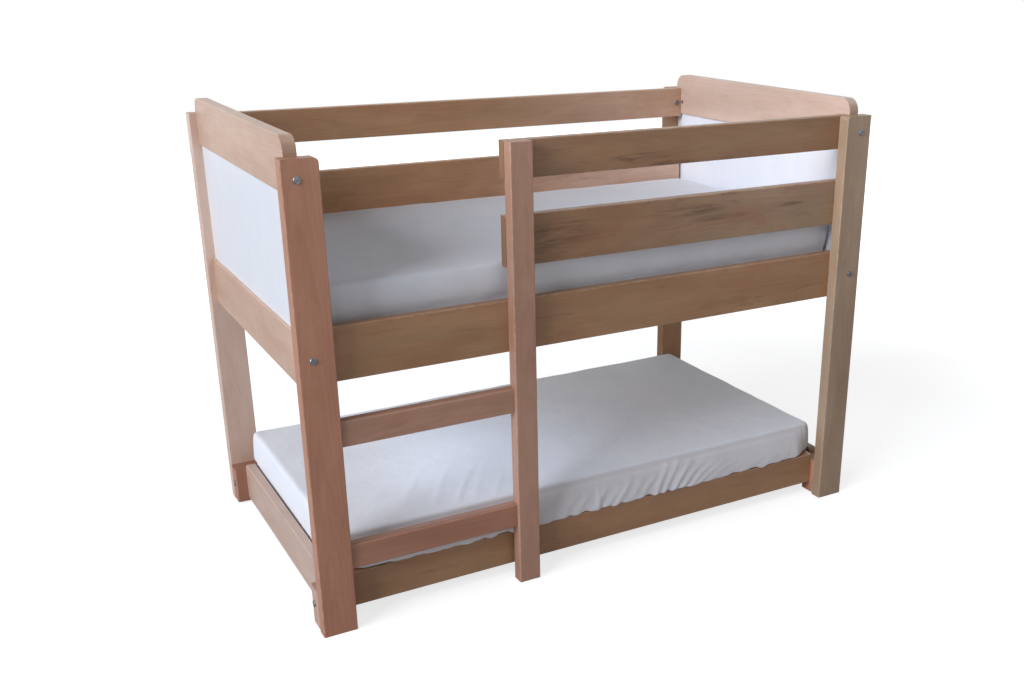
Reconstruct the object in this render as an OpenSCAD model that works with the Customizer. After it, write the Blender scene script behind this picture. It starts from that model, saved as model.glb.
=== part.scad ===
// Low children's bunk bed in solid beech with white end panels.
// X runs along the bed, -Y is the ladder side and +Z is up.
// The origin is on the floor, under the centre of the overall box. Millimetres.

/* [Mattresses] */
// Length of a mattress
mattress_l = 1604; // [1400:4:2000]
// Width of a mattress at its foot, between the rails
mattress_w = 812; // [700:2:1000]
// Thickness of a mattress at its edge
mattress_h = 134; // [110:1:140]
// Mean room between a mattress and each end board
room_l = 21; // [14:1:40]
// Room between the lower mattress's foot and each side rail
room_w = 2; // [1.5:0.5:20]
// Height that the middle of a mattress rises above its edge
crown = 8; // [2:1:12]
// Radius of a mattress's corners, seen from above
corner = 18; // [14:1:60]
// Radius of a mattress's top and bottom edges
edge = 13; // [8:1:20]
// Distance that a mattress's sides bow out between its edges
bow = 3; // [1:0.5:7]
// How much further out a long side stands at the top than at the foot
spread = 12; // [0:1:15]
// How far the lower mattress bulges over each side rail beyond that
bulge = 29; // [0:1:32]
// Room between a side rail's top and the sheet that bulges over it
bulge_gap = 3; // [1:0.5:10]
// Gap between the upper mattress and the right end boards, which it is pushed against
end_gap = 2; // [1.5:0.5:8]
// Gap between the upper mattress's top and the back rail
back_gap = 4; // [2:0.5:10]
// Gap between the lower mattress and the left end rail
foot_gap = 6; // [2:0.5:8]
// Thickness of the fitted sheets
sheet_t = 1; // [0.8:0.1:1.5]
// Distance that a fitted sheet is tucked under its mattress
tuck = 95; // [60:5:140]

/* [Posts] */
// Width of a corner post, along the bed
post_w = 90; // [80:1:120]
// Thickness of a corner post, across the bed
post_t = 38; // [34:1:50]
// Radius of a post's inner top corner
post_round = 13; // [6:1:25]
// Radius of the softened long edges of every board
arris = 3; // [1:0.5:5]

/* [End frames] */
// Distance from a post's outer side to the end boards' outer face
end_inset = 20; // [10:1:26]
// Thickness of the end boards
end_t = 32; // [28:1:38]
// Height of the upper end board
end_top_h = 135; // [125:1:150]
// How far the upper end board stands above the posts
end_rise = 46; // [20:1:60]
// Radius of the upper end board's top corners
end_round = 39; // [15:1:45]
// How far the lower end board hangs below the mattress rails
end_drop = 16; // [0:1:40]
// Height of the lower end board
end_bottom_h = 139; // [130:1:150]
// Thickness of the white end panel
panel_t = 16; // [12:1:18]
// Distance that the white panel lies behind the boards' outer face
panel_recess = 8; // [4:1:10]
// Depth of the grooves that hold the panel
groove_d = 8; // [4:1:9]

/* [Upper bed rails] */
// Thickness of the rails and guards
rail_t = 28; // [24:1:32]
// Height of the mattress rails' bottom edge above the floor
rail_z = 678; // [640:1:760]
// Height of a mattress rail
rail_h = 141; // [130:1:155]
// Gap between a mattress rail and the middle guard over it
low_gap = 87; // [60:1:95]
// Height of a middle guard
mid_guard_h = 134; // [100:1:145]
// Gap between a middle guard and the top guard over it
high_gap = 92; // [60:1:95]
// Height of a top guard
top_guard_h = 98; // [80:1:110]

/* [Ladder] */
// Distance from the bed's left end to the ladder post
ladder_x = 566; // [450:1:650]
// Width of the ladder post
ladder_w = 63; // [50:1:80]
// Height of the lower rung's bottom edge above the floor
rung_z = 173; // [160:1:200]
// Distance from one rung to the next
rung_step = 341; // [250:1:355]
// Height of a rung
rung_h = 70; // [60:1:90]
// Thickness of a rung
rung_t = 28; // [24:1:32]
// Radius of a rung's top front edge
rung_round = 7; // [4:0.5:10]

/* [Lower bed] */
// Thickness of the short legs, across the bed
leg_t = 50; // [42:1:60]
// Height of the short legs' bottom above the floor
leg_gap = 6; // [4:1:15]
// Height of a short leg
leg_h = 114; // [100:1:130]
// Thickness of the side rails, which are flush with the legs' inner faces
side_t = 38; // [34:1:42]
// Height of the side rails' bottom edge above the floor
side_z = 40; // [35:1:55]
// Height of a side rail
side_h = 100; // [90:1:110]
// Distance from a leg's outer side to the end rail's outer face
foot_inset = 34; // [20:1:40]
// Thickness of an end rail
foot_t = 27; // [22:1:30]
// Height of the end rails' bottom edge above the floor
foot_z = 16; // [12:1:25]
// Height of an end rail
foot_h = 122; // [115:1:135]
// Radius of an end rail's top corners
foot_round = 24; // [6:1:30]

/* [Slats] */
// Number of slats in each bed
slat_count = 13; // [9:1:15]
// Width of a slat
slat_w = 70; // [50:1:80]
// Thickness of a slat
slat_t = 18; // [14:1:20]
// Width and height of the cleats that carry the slats
cleat = 24; // [20:1:28]
// Height of the slats' top above the mattress rails' bottom edge
upper_deck = 97; // [80:1:105]
// Height of the slats' top above the lower side rails' bottom edge
lower_deck = 60; // [54:1:66]

/* [Fixings] */
// Diameter of the connector bolts
bolt_d = 8; // [6:1:8]
// Diameter of a bolt head
head_d = 18.5; // [16:0.5:20]
// Height of a bolt head
head_h = 3; // [2:0.5:4]
// Width across the flats of a bolt's hexagon socket
socket = 5; // [4:0.5:6]
// Diameter of a barrel nut
barrel_d = 13; // [11:1:14]
// Length of a barrel nut
barrel_l = 22; // [18:1:24]
// Distance from a board's end to its barrel nut
barrel_back = 36; // [34:1:45]
// Diameter of a threaded insert
insert_d = 11.5; // [10.5:0.5:13]
// Length of a threaded insert
insert_l = 25; // [18:1:28]
// Distance from the posts' top down to the bolts in the upper end boards
end_bolt_down = 48; // [44:1:52]
// Distance from the lower end boards' bottom edge up to their bolts
end_bolt_up = 91; // [80:1:100]
// Length of a bolt that runs past its barrel nut
bolt_tip = 6; // [2:1:8]
// Height of the lower bed's bolts above the floor
leg_bolt_z = 68; // [60:1:72]
// Diameter of a dowel
dowel_d = 10; // [8:1:10]
// Length of a dowel
dowel_l = 60; // [40:2:60]
// Distance from the middle of an end joint's bolt to each of its dowels
dowel_off = 24; // [20:1:26]
// Diameter of a wood screw
screw_d = 4.5; // [3.5:0.5:5]
// Diameter of a wood screw's head
screw_head = 9; // [8:0.5:10]
// Length of an end rail's screw that holds in the end rail
foot_hold = 50; // [30:5:60]
// Distance of the leg screws above and below the leg's bolt
leg_screw_off = 31; // [26:1:34]

/* [Hidden] */
$fn = 32;

// Room round a bolt, a nut, a dowel or a screw in its hole, on the radius
play = 0.1;
// Room between a mattress, its sheet and the slats
soft_gap = 0.3;
// Room between a slat's end and the rail beside it
slat_gap = 2;
// Depth of a bolt's hexagon socket
socket_d = 2;
// How far a cut runs past the face that it starts from
cut = 1;

// Distance from an upper cleat's end to the end board beside it
cleat_room = 30;
// Distance from a cleat's end to its first slat
cleat_margin = 5;
// Part of a bolt's insert that the bolt leaves empty
insert_spare = 3;

// The bed is built round its mattresses
end_in = end_inset + end_t;
bed_l = mattress_l + 2 * (room_l + end_in);
bed_w = mattress_w + 2 * (room_w + leg_t + post_t);
// Rails and guards are stacked up to the top of the posts
mid_guard_z = rail_z + rail_h + low_gap;
top_guard_z = mid_guard_z + mid_guard_h + high_gap;
post_h = top_guard_z + top_guard_h;
left = -bed_l / 2;
front = -bed_w / 2;
end_mid = end_inset + end_t / 2;
end_bottom_z = rail_z - end_drop;
end_top_z = post_h + end_rise - end_top_h;
end_bolt_zs = [end_bottom_z + end_bolt_up, post_h - end_bolt_down];
panel_bottom = end_bottom_z + end_bottom_h - groove_d;
panel_top = end_top_z + groove_d - slat_gap / 4;
rail_back = post_t + rail_t;
leg_back = post_t + leg_t;
side_front = leg_back - side_t;
side_mid = leg_back - side_t / 2;
foot_mid = foot_inset + foot_t / 2;
leg_in = post_w;
// The bed has two rungs, each a node of its own
rung_count = 2;
rung_back = post_t;
rung_mid = rung_back - rung_t / 2;
dowel_spread = rung_h / 4;
ladder_mid = ladder_x + ladder_w / 2;
upper_top = rail_z + upper_deck;
lower_top = side_z + lower_deck;
// The upper mattress is pushed towards the right end and the back, the lower one towards the left end
upper_push = [room_l - end_gap, bed_w / 2 - rail_back - mattress_w / 2 - spread - back_gap, 0];
lower_push = [foot_gap - room_l - end_in + foot_inset + foot_t, 0, 0];

// Where the rails meet the posts: the strip of a post that a rail lies behind
rail_bolt_x = (end_in + post_w) / 2;
// Heights of the bolts in a mattress rail and in the guards
rail_bolt_zs = [rail_z + rail_h / 4, rail_z + rail_h * 3 / 4];
mid_bolt_zs = [mid_guard_z + mid_guard_h / 2];
top_bolt_zs = [top_guard_z + top_guard_h / 2];
guard_bolt_zs = concat(rail_bolt_zs, mid_bolt_zs, top_bolt_zs);
end_bolt_l = post_t + barrel_back + barrel_d / 2 + bolt_tip;
rail_bolt_l = rail_t + insert_l - insert_spare;
leg_bolt_l = post_w + barrel_back + barrel_d / 2 + bolt_tip;

// Slats lie between the ends of their cleats
upper_cleat_x = end_in + cleat_room;
lower_cleat_x = leg_in + barrel_back + barrel_d;

// Distance between slats that are spread from one end of a cleat to the other
function slat_pitch(cleat_x) = (bed_l - 2 * cleat_x - 2 * cleat_margin - slat_w) / (slat_count - 1);
function slat_x(cleat_x, i) = cleat_x + cleat_margin + slat_w / 2 + i * slat_pitch(cleat_x);

// Leg screws stand between the end rail and the side rail, at two heights
leg_screw_x = (foot_inset + foot_t + post_w) / 2;
leg_screw_zs = [leg_bolt_z - leg_screw_off, leg_bolt_z + leg_screw_off];
leg_screw_l = leg_t + post_t * 3 / 4;
foot_screw_l = leg_t + foot_hold;
cleat_screw_l = cleat + rail_t * 2 / 3;
slat_screw_l = slat_t + cleat * 3 / 4;

// Colours, as the bed shows them
beech = [0.80, 0.62, 0.48];
plywood = [0.86, 0.74, 0.58];
panel_white = [0.90, 0.91, 0.95];
linen_white = [0.93, 0.94, 0.96];
ticking = [0.88, 0.88, 0.86];
steel = [0.70, 0.71, 0.73];

// Flat shapes and bars

// Rectangle with its corner at the origin and four rounded corners
module soft_rect(size, r) {
    translate([r, 0])
        square([size.x - 2 * r, size.y]);
    translate([0, r])
        square([size.x, size.y - 2 * r]);
    for (x = [r, size.x - r], y = [r, size.y - r])
        translate([x, y])
            circle(r);
}

// Rectangle with a radius of its own on each top corner and square bottom corners
module topped_rect(size, r_low, r_high) {
    tall = max(r_low, r_high);
    square([size.x, size.y - tall]);
    translate([r_low, 0])
        square([size.x - r_low - r_high, size.y]);
    if (r_low > 0)
        translate([r_low, size.y - r_low])
            circle(r_low);
    if (r_high > 0)
        translate([size.x - r_high, size.y - r_high])
            circle(r_high);
    if (r_low < tall)
        translate([0, size.y - tall])
            square([size.x / 2, tall - r_low]);
    if (r_high < tall)
        translate([size.x / 2, size.y - tall])
            square([size.x / 2, tall - r_high]);
}

// Bars are placed from the bed's left front corner on the floor
module bar_x(x, y, z, length, depth, height) {
    translate([left + x, front + y, z])
        rotate([90, 0, 90])
            linear_extrude(length)
                soft_rect([depth, height], arris);
}

module bar_y(x, y, z, width, length, height) {
    translate([left + x, front + y + length, z])
        rotate([90, 0, 0])
            linear_extrude(length)
                soft_rect([width, height], arris);
}

module bar_z(x, y, z, width, depth, height) {
    translate([left + x, front + y, z])
        linear_extrude(height)
            soft_rect([width, depth], arris);
}

// The bed is its own mirror image from end to end and from side to side
module other_end() {
    mirror([1, 0, 0])
        children();
}

module other_side() {
    mirror([0, 1, 0])
        children();
}

// Fixings: each stands on the origin and points down -Z, with its head above

module bolt(length) {
    bevel = head_h / 3;
    difference() {
        rotate_extrude()
            polygon([[0, -length], [bolt_d / 2, -length], [bolt_d / 2, 0], [head_d / 2, 0],
                [head_d / 2, head_h - bevel], [head_d / 2 - bevel, head_h], [0, head_h]]);
        translate([0, 0, head_h - socket_d])
            cylinder(h = socket_d + cut, d = socket * 2 / sqrt(3), $fn = 6);
    }
}

// Hole that a bolt passes through, and a little past its tip
module bolt_hole(length) {
    translate([0, 0, -length - cut])
        cylinder(h = length + 2 * cut, r = bolt_d / 2 + play);
}

module barrel_nut() {
    difference() {
        translate([0, 0, -barrel_l / 2])
            cylinder(h = barrel_l, d = barrel_d);
        translate([0, -barrel_d, 0])
            rotate([-90, 0, 0])
                cylinder(h = 2 * barrel_d, r = bolt_d / 2 + play);
    }
}

// Blind hole of a barrel nut: it is open on +Z, reach above the bolt's axis
module barrel_hole(reach) {
    translate([0, 0, -barrel_l / 2 - play])
        cylinder(h = reach + barrel_l / 2 + play + cut, r = barrel_d / 2 + play);
}

module insert() {
    difference() {
        translate([0, 0, -insert_l])
            cylinder(h = insert_l, d = insert_d);
        bolt_hole(insert_l);
    }
}

module insert_hole() {
    translate([0, 0, -insert_l])
        cylinder(h = insert_l + cut, r = insert_d / 2 + play);
}

module dowel() {
    translate([0, 0, -dowel_l / 2])
        cylinder(h = dowel_l, d = dowel_d);
}

module dowel_hole() {
    translate([0, 0, -dowel_l / 2 - play])
        cylinder(h = dowel_l + 2 * play, r = dowel_d / 2 + play);
}

// Countersunk screw, with its head's top at the origin; room widens it into its own hole
module screw(length, room = 0) {
    sink = (screw_head - screw_d) / 2;
    rotate_extrude()
        polygon([[0, room], [screw_head / 2 + room, room], [screw_head / 2 + room, 0],
            [screw_d / 2 + room, -sink], [screw_d / 2 + room, -length - room], [0, -length - room]]);
}

// Places of the fixings

// One end joint's children, at each height of the front left post
module at_end_bolts() {
    for (z = end_bolt_zs)
        translate([left + end_mid, front, z])
            rotate([90, 0, 0])
                children();
}

module at_end_nuts() {
    for (z = end_bolt_zs)
        translate([left + end_mid, front + post_t + barrel_back, z])
            rotate([0, 90, 0])
                children();
}

module at_end_dowels() {
    for (z = end_bolt_zs, side = [-1, 1])
        translate([left + end_mid, front + post_t, z + side * dowel_off])
            rotate([90, 0, 0])
                children();
}

// Bolts that come from the inside of the bed, through a rail into a post
module at_rail_bolts(x, zs, y) {
    for (z = zs)
        translate([left + x, front + y, z])
            rotate([-90, 0, 0])
                children();
}

module at_rung_dowels(x) {
    for (i = [0 : rung_count - 1], side = [-1, 1])
        translate([left + x, front + rung_mid, rung_z + i * rung_step + rung_h / 2 + side * dowel_spread])
            rotate([0, 90, 0])
                children();
}

module at_leg_bolt() {
    translate([left, front + side_mid, leg_bolt_z])
        rotate([0, -90, 0])
            children();
}

module at_leg_nut() {
    translate([left + leg_in + barrel_back, front + side_mid, leg_bolt_z])
        rotate([-90, 0, 0])
            rotate([0, 0, 90])
                children();
}

module at_leg_screws() {
    for (z = leg_screw_zs)
        translate([left + leg_screw_x, front + leg_back, z])
            rotate([-90, 0, 0])
                children();
}

module at_foot_screws() {
    for (z = leg_screw_zs)
        translate([left + foot_mid, front + post_t, z])
            rotate([90, 0, 0])
                children();
}

// Screws in every second space between slats hold a front cleat to its rail
module at_cleat_screws(cleat_x, y, top) {
    for (i = [0 : 2 : slat_count - 2])
        translate([left + slat_x(cleat_x, i + 0.5), front + y + cleat, top - slat_t - cleat / 2])
            rotate([-90, 0, 0])
                children();
}

module at_slat_screws(cleat_x, y, top) {
    for (i = [0 : slat_count - 1])
        translate([left + slat_x(cleat_x, i), front + y + cleat / 2, top])
            children();
}

// Posts

// Corner post at the left front: its inner top corner is rounded
module corner_post() {
    difference() {
        intersection() {
            bar_z(0, 0, 0, post_w, post_t, post_h);
            translate([left, front + post_t, 0])
                rotate([90, 0, 0])
                    linear_extrude(post_t)
                        topped_rect([post_w, post_h], 0, post_round);
        }
        at_end_bolts()
            bolt_hole(post_t);
        at_end_dowels()
            dowel_hole();
        at_rail_bolts(rail_bolt_x, guard_bolt_zs, post_t)
            insert_hole();
        at_leg_screws()
            screw(leg_screw_l, play);
    }
}

// The post beside the ladder also holds the rungs' dowels, and no guard starts at it
module rung_side_post() {
    difference() {
        intersection() {
            bar_z(0, 0, 0, post_w, post_t, post_h);
            translate([left, front + post_t, 0])
                rotate([90, 0, 0])
                    linear_extrude(post_t)
                        topped_rect([post_w, post_h], 0, post_round);
        }
        at_end_bolts()
            bolt_hole(post_t);
        at_end_dowels()
            dowel_hole();
        at_rail_bolts(rail_bolt_x, rail_bolt_zs, post_t)
            insert_hole();
        at_leg_screws()
            screw(leg_screw_l, play);
        at_rung_dowels(post_w)
            dowel_hole();
    }
}

module front_left_post() {
    color(beech)
        rung_side_post();
}

module front_right_post() {
    color(beech)
        other_end()
            corner_post();
}

module back_left_post() {
    color(beech)
        other_side()
            corner_post();
}

module back_right_post() {
    color(beech)
        other_end()
            other_side()
                corner_post();
}

module ladder_post() {
    color(beech)
        difference() {
            bar_z(ladder_x, 0, 0, ladder_w, post_t, post_h);
            at_rail_bolts(ladder_mid, guard_bolt_zs, post_t)
                insert_hole();
            at_rung_dowels(ladder_x)
                dowel_hole();
        }
}

// A rung's top front edge is rounded for the foot
module rung(i) {
    color(beech)
        difference() {
            translate([left + post_w, front + rung_back - rung_t, rung_z + i * rung_step])
                rotate([90, 0, 90])
                    linear_extrude(ladder_x - post_w)
                        rung_section();
            at_rung_dowels(post_w)
                dowel_hole();
            at_rung_dowels(ladder_x)
                dowel_hole();
        }
}

module rung_section() {
    difference() {
        soft_rect([rung_t, rung_h], arris);
        translate([0, rung_h - rung_round])
            square(rung_round);
    }
    translate([rung_round, rung_h - rung_round])
        circle(rung_round);
}

// End frames

module end_top_board() {
    color(beech)
        difference() {
            intersection() {
                bar_y(end_inset, post_t, end_top_z, end_t, bed_w - 2 * post_t, end_top_h);
                translate([left + end_inset, front + post_t, end_top_z])
                    rotate([90, 0, 90])
                        linear_extrude(end_t)
                            topped_rect([bed_w - 2 * post_t, end_top_h], end_round, end_round);
            }
            panel_groove();
            end_board_holes();
        }
}

module end_bottom_board() {
    color(beech)
        difference() {
            bar_y(end_inset, post_t, end_bottom_z, end_t, bed_w - 2 * post_t, end_bottom_h);
            panel_groove();
            end_board_holes();
        }
}

// The panel's own space, with a little room, cuts the grooves in both boards
module panel_groove() {
    translate([left + end_inset + panel_recess - play, front + post_t - cut, panel_bottom])
        cube([panel_t + 2 * play, bed_w - 2 * post_t + 2 * cut, end_top_z + groove_d - panel_bottom]);
}

// Holes at both ends of an end board: bolts, barrel nuts and dowels
module end_board_holes() {
    end_joint_holes();
    other_side()
        end_joint_holes();
}

module end_joint_holes() {
    at_end_bolts()
        bolt_hole(end_bolt_l);
    at_end_nuts()
        barrel_hole(end_t / 2);
    at_end_dowels()
        dowel_hole();
}

module end_panel() {
    color(panel_white)
        translate([left + end_inset + panel_recess, front + post_t, panel_bottom])
            cube([panel_t, bed_w - 2 * post_t, panel_top - panel_bottom]);
}

module left_end_top_board() {
    end_top_board();
}

module left_end_panel() {
    end_panel();
}

module left_end_bottom_board() {
    end_bottom_board();
}

module right_end_top_board() {
    other_end()
        end_top_board();
}

module right_end_panel() {
    other_end()
        end_panel();
}

module right_end_bottom_board() {
    other_end()
        end_bottom_board();
}

// Upper bed rails, on the inner faces of the posts

// Rail from x to the right end boards, with holes for its bolts at the ladder and at the ends
module rail(x, z, height, bolt_xs, bolt_zs) {
    difference() {
        bar_x(x, post_t, z, bed_l - end_in - x, rail_t, height);
        for (bolt_x = bolt_xs)
            at_rail_bolts(bolt_x, bolt_zs, rail_back)
                bolt_hole(rail_t + cut);
    }
}

all_xs = [rail_bolt_x, bed_l - rail_bolt_x];
ladder_xs = [ladder_mid, bed_l - rail_bolt_x];

module front_top_guard() {
    color(beech)
        rail(ladder_x, top_guard_z, top_guard_h, ladder_xs, top_bolt_zs);
}

module front_mid_guard() {
    color(beech)
        rail(ladder_x, mid_guard_z, mid_guard_h, ladder_xs, mid_bolt_zs);
}

module front_mattress_rail() {
    color(beech)
        difference() {
            rail(end_in, rail_z, rail_h, concat(all_xs, [ladder_mid]), rail_bolt_zs);
            at_cleat_screws(upper_cleat_x, rail_back, upper_top)
                screw(cleat_screw_l, play);
        }
}

module back_top_guard() {
    color(beech)
        other_side()
            rail(end_in, top_guard_z, top_guard_h, all_xs, top_bolt_zs);
}

module back_mid_guard() {
    color(beech)
        other_side()
            rail(end_in, mid_guard_z, mid_guard_h, all_xs, mid_bolt_zs);
}

module back_mattress_rail() {
    color(beech)
        other_side()
            difference() {
                rail(end_in, rail_z, rail_h, all_xs, rail_bolt_zs);
                at_cleat_screws(upper_cleat_x, rail_back, upper_top)
                    screw(cleat_screw_l, play);
            }
}

// Cleats and slats

// Cleat against the rail face at y, with its top under the slats
module cleat_bar(cleat_x, y, top) {
    color(plywood)
        difference() {
            bar_x(cleat_x, y, top - slat_t - cleat, bed_l - 2 * cleat_x, cleat, cleat);
            at_cleat_screws(cleat_x, y, top)
                screw(cleat_screw_l, play);
            at_slat_screws(cleat_x, y, top)
                screw(slat_screw_l, play);
        }
}

module slats(cleat_x, y, top) {
    color(plywood)
        difference() {
            for (i = [0 : slat_count - 1])
                bar_y(slat_x(cleat_x, i) - slat_w / 2, y + slat_gap, top - slat_t,
                    slat_w, bed_w - 2 * y - 2 * slat_gap, slat_t);
            at_slat_screws(cleat_x, y, top)
                screw(slat_screw_l, play);
            other_side()
                at_slat_screws(cleat_x, y, top)
                    screw(slat_screw_l, play);
        }
}

module upper_front_cleat() {
    cleat_bar(upper_cleat_x, rail_back, upper_top);
}

module upper_back_cleat() {
    other_side()
        cleat_bar(upper_cleat_x, rail_back, upper_top);
}

module upper_slats() {
    slats(upper_cleat_x, rail_back, upper_top);
}

module lower_front_cleat() {
    cleat_bar(lower_cleat_x, leg_back, lower_top);
}

module lower_back_cleat() {
    other_side()
        cleat_bar(lower_cleat_x, leg_back, lower_top);
}

module lower_slats() {
    slats(lower_cleat_x, leg_back, lower_top);
}

// Mattresses and their sheets: rings of points from the underside to the crowned top

// Number of points on one corner, and of steps round an edge
corner_steps = 5;
edge_steps = 4;
// Number of rings on the crowned top
crown_rings = 6;
ring_points = 4 * corner_steps;
// Height of a mattress's foot, which its rails hold upright
foot_zone = side_z + side_h + bulge_gap - lower_top - 2 * soft_gap - sheet_t;
// Heights of the rings over the foot, as parts of the way up to the top edge
side_steps = [0, 0.03, 0.1, 0.2, 0.35, 0.55, 0.8];
// The bulge is thickest low down: this power of the height moves it there
bulge_low = 0.6;

// Ring at a distance in from the sides, with its long sides moved out: a rectangle with round corners
function ring(inset, z, out) =
    let (r = max(corner - inset, 1), hx = mattress_l / 2 - inset - r, hy = mattress_w / 2 + out - inset - r)
    [for (q = [0 : 3], i = [0 : corner_steps - 1])
        let (a = 90 * q + 90 * i / (corner_steps - 1), sx = (q == 0 || q == 3) ? 1 : -1, sy = q < 2 ? 1 : -1)
        [sx * hx + r * cos(a), sy * hy + r * sin(a), z]];

// Height of the top over its edge: a smooth rise that levels off at the middle
function rise(inset) = crown * sin(90 * min(1, inset / (mattress_w / 2 - edge)));
// Distance in from the outermost line: the sides bow out between their edges
function side_inset(z) = bow * (1 - sin(180 * (z - edge) / (mattress_h - 2 * edge)));
// Distance that a long side stands out over its foot, at a part t of the way up to the top edge
function side_out(t, swell) = spread * sin(90 * t) + swell * sin(180 * pow(t, bulge_low));
function side_z_at(t) = foot_zone + t * (mattress_h - edge - foot_zone);

// Underside, round bottom edge, side, round top edge and top, each as [inset, z, out],
// on a surface that lies a distance d outside the mattress
function profile(d, swell) = concat(
    [for (i = [0 : edge_steps]) let (a = 90 * i / edge_steps)
        [bow + edge - (edge + d) * sin(a), edge - (edge + d) * cos(a), 0]],
    [for (t = side_steps) let (z = side_z_at(t)) [side_inset(z) - d, z, side_out(t, swell)]],
    [for (i = [0 : edge_steps]) let (a = 90 * i / edge_steps)
        [bow + edge - (edge + d) * cos(a), mattress_h - edge + (edge + d) * sin(a), spread]],
    [for (k = [1 : crown_rings]) let (inset = k / crown_rings * (mattress_w / 2 - bow - 2 * edge))
        [bow + edge + inset, mattress_h + rise(inset) + d, spread]]);

// Points of a surface's rings, one ring after another
function skin(rings) = [for (p = rings) each ring(p[0], p[1], p[2])];

// Triangles between the rings, from the first point's number on
function skin_faces(first, count) = [for (k = [0 : count - 2], i = [0 : ring_points - 1])
    let (a = first + k * ring_points + i, b = first + k * ring_points + (i + 1) % ring_points)
    each [[a, a + ring_points, b], [b, a + ring_points, b + ring_points]]];

// Triangles that close a ring with a flat lid
function lid_faces(first) = [for (i = [1 : ring_points - 2]) [first, first + i + 1, first + i]];

function turned(faces) = [for (f = faces) [f[0], f[2], f[1]]];

module mattress(top, swell) {
    rings = profile(0, swell);
    walls = skin_faces(0, len(rings));
    lid = lid_faces((len(rings) - 1) * ring_points);
    base = turned(lid_faces(0));
    color(ticking)
        translate([0, 0, top + 2 * soft_gap + sheet_t])
            polyhedron(skin(rings), concat(walls, lid, base));
}

// A fitted sheet covers the top and the sides and is tucked under all round
module fitted_sheet(top, swell) {
    hem = bow + edge + tuck;
    outer = concat([[hem, -soft_gap - sheet_t, 0]], profile(soft_gap + sheet_t, swell));
    inner = concat([[hem, -soft_gap, 0]], profile(soft_gap, swell));
    half = len(outer) * ring_points;
    last = (len(outer) - 1) * ring_points;
    walls = concat(skin_faces(0, len(outer)), turned(skin_faces(half, len(inner))));
    lids = concat(lid_faces(last), turned(lid_faces(half + last)));
    hem_faces = [for (i = [0 : ring_points - 1]) let (j = (i + 1) % ring_points)
        each [[i, j, half + i], [j, half + j, half + i]]];
    color(linen_white)
        translate([0, 0, top + 2 * soft_gap + sheet_t])
            polyhedron(concat(skin(outer), skin(inner)), concat(walls, lids, hem_faces));
}

module upper_mattress() {
    translate(upper_push)
        mattress(upper_top, 0);
}

module lower_mattress() {
    translate(lower_push)
        mattress(lower_top, bulge);
}

module upper_fitted_sheet() {
    translate(upper_push)
        fitted_sheet(upper_top, 0);
}

module lower_fitted_sheet() {
    translate(lower_push)
        fitted_sheet(lower_top, bulge);
}

// Lower bed

module leg() {
    difference() {
        bar_z(0, post_t, leg_gap, post_w, leg_t, leg_h);
        at_leg_bolt()
            bolt_hole(leg_bolt_l);
        at_leg_screws()
            screw(leg_screw_l, play);
        at_foot_screws()
            screw(foot_screw_l, play);
    }
}

module front_left_leg() {
    color(beech)
        leg();
}

module front_right_leg() {
    color(beech)
        other_end()
            leg();
}

module back_left_leg() {
    color(beech)
        other_side()
            leg();
}

module back_right_leg() {
    color(beech)
        other_end()
            other_side()
                leg();
}

module side_joint_holes() {
    at_leg_bolt()
        bolt_hole(leg_bolt_l);
    at_leg_nut()
        barrel_hole(side_t / 2);
}

module side_rail() {
    difference() {
        bar_x(leg_in, side_front, side_z, bed_l - 2 * leg_in, side_t, side_h);
        side_joint_holes();
        other_end()
            side_joint_holes();
        at_cleat_screws(lower_cleat_x, leg_back, lower_top)
            screw(cleat_screw_l, play);
    }
}

module lower_front_rail() {
    color(beech)
        side_rail();
}

module lower_back_rail() {
    color(beech)
        other_side()
            side_rail();
}

module end_rail() {
    length = bed_w - 2 * leg_back;
    difference() {
        intersection() {
            bar_y(foot_inset, leg_back, foot_z, foot_t, length, foot_h);
            translate([left + foot_inset, front + leg_back, foot_z])
                rotate([90, 0, 90])
                    linear_extrude(foot_t)
                        topped_rect([length, foot_h], foot_round, foot_round);
        }
        at_foot_screws()
            screw(foot_screw_l, play);
        other_side()
            at_foot_screws()
                screw(foot_screw_l, play);
    }
}

module lower_left_end_rail() {
    color(beech)
        end_rail();
}

module lower_right_end_rail() {
    color(beech)
        other_end()
            end_rail();
}

// Fixings, each kind as one group

// Repeats a left front joint at all four corners
module four_corners() {
    children();
    other_end()
        children();
    other_side()
        children();
    other_end()
        other_side()
            children();
}

module end_board_bolts() {
    color(steel)
        four_corners()
            at_end_bolts()
                bolt(end_bolt_l);
}

module end_board_nuts() {
    color(steel)
        four_corners()
            at_end_nuts()
                barrel_nut();
}

module end_board_dowels() {
    color(beech)
        four_corners()
            at_end_dowels()
                dowel();
}

// Every place where a rail is bolted to a post, on the plane y behind the front face
module at_all_rail_bolts(y) {
    at_rail_bolts(rail_bolt_x, rail_bolt_zs, y)
        children();
    at_rail_bolts(ladder_mid, guard_bolt_zs, y)
        children();
    at_rail_bolts(bed_l - rail_bolt_x, guard_bolt_zs, y)
        children();
    for (x = all_xs)
        other_side()
            at_rail_bolts(x, guard_bolt_zs, y)
                children();
}

module rail_bolts() {
    color(steel)
        at_all_rail_bolts(rail_back)
            bolt(rail_bolt_l);
}

module rail_inserts() {
    color(steel)
        at_all_rail_bolts(post_t)
            insert();
}

module rung_dowels() {
    color(beech) {
        at_rung_dowels(post_w)
            dowel();
        at_rung_dowels(ladder_x)
            dowel();
    }
}

module lower_rail_bolts() {
    color(steel)
        four_corners()
            at_leg_bolt()
                bolt(leg_bolt_l);
}

module lower_rail_nuts() {
    color(steel)
        four_corners()
            at_leg_nut()
                barrel_nut();
}

module leg_screws() {
    color(steel)
        four_corners()
            at_leg_screws()
                screw(leg_screw_l);
}

module end_rail_screws() {
    color(steel)
        four_corners()
            at_foot_screws()
                screw(foot_screw_l);
}

module both_sides() {
    children();
    other_side()
        children();
}

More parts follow.
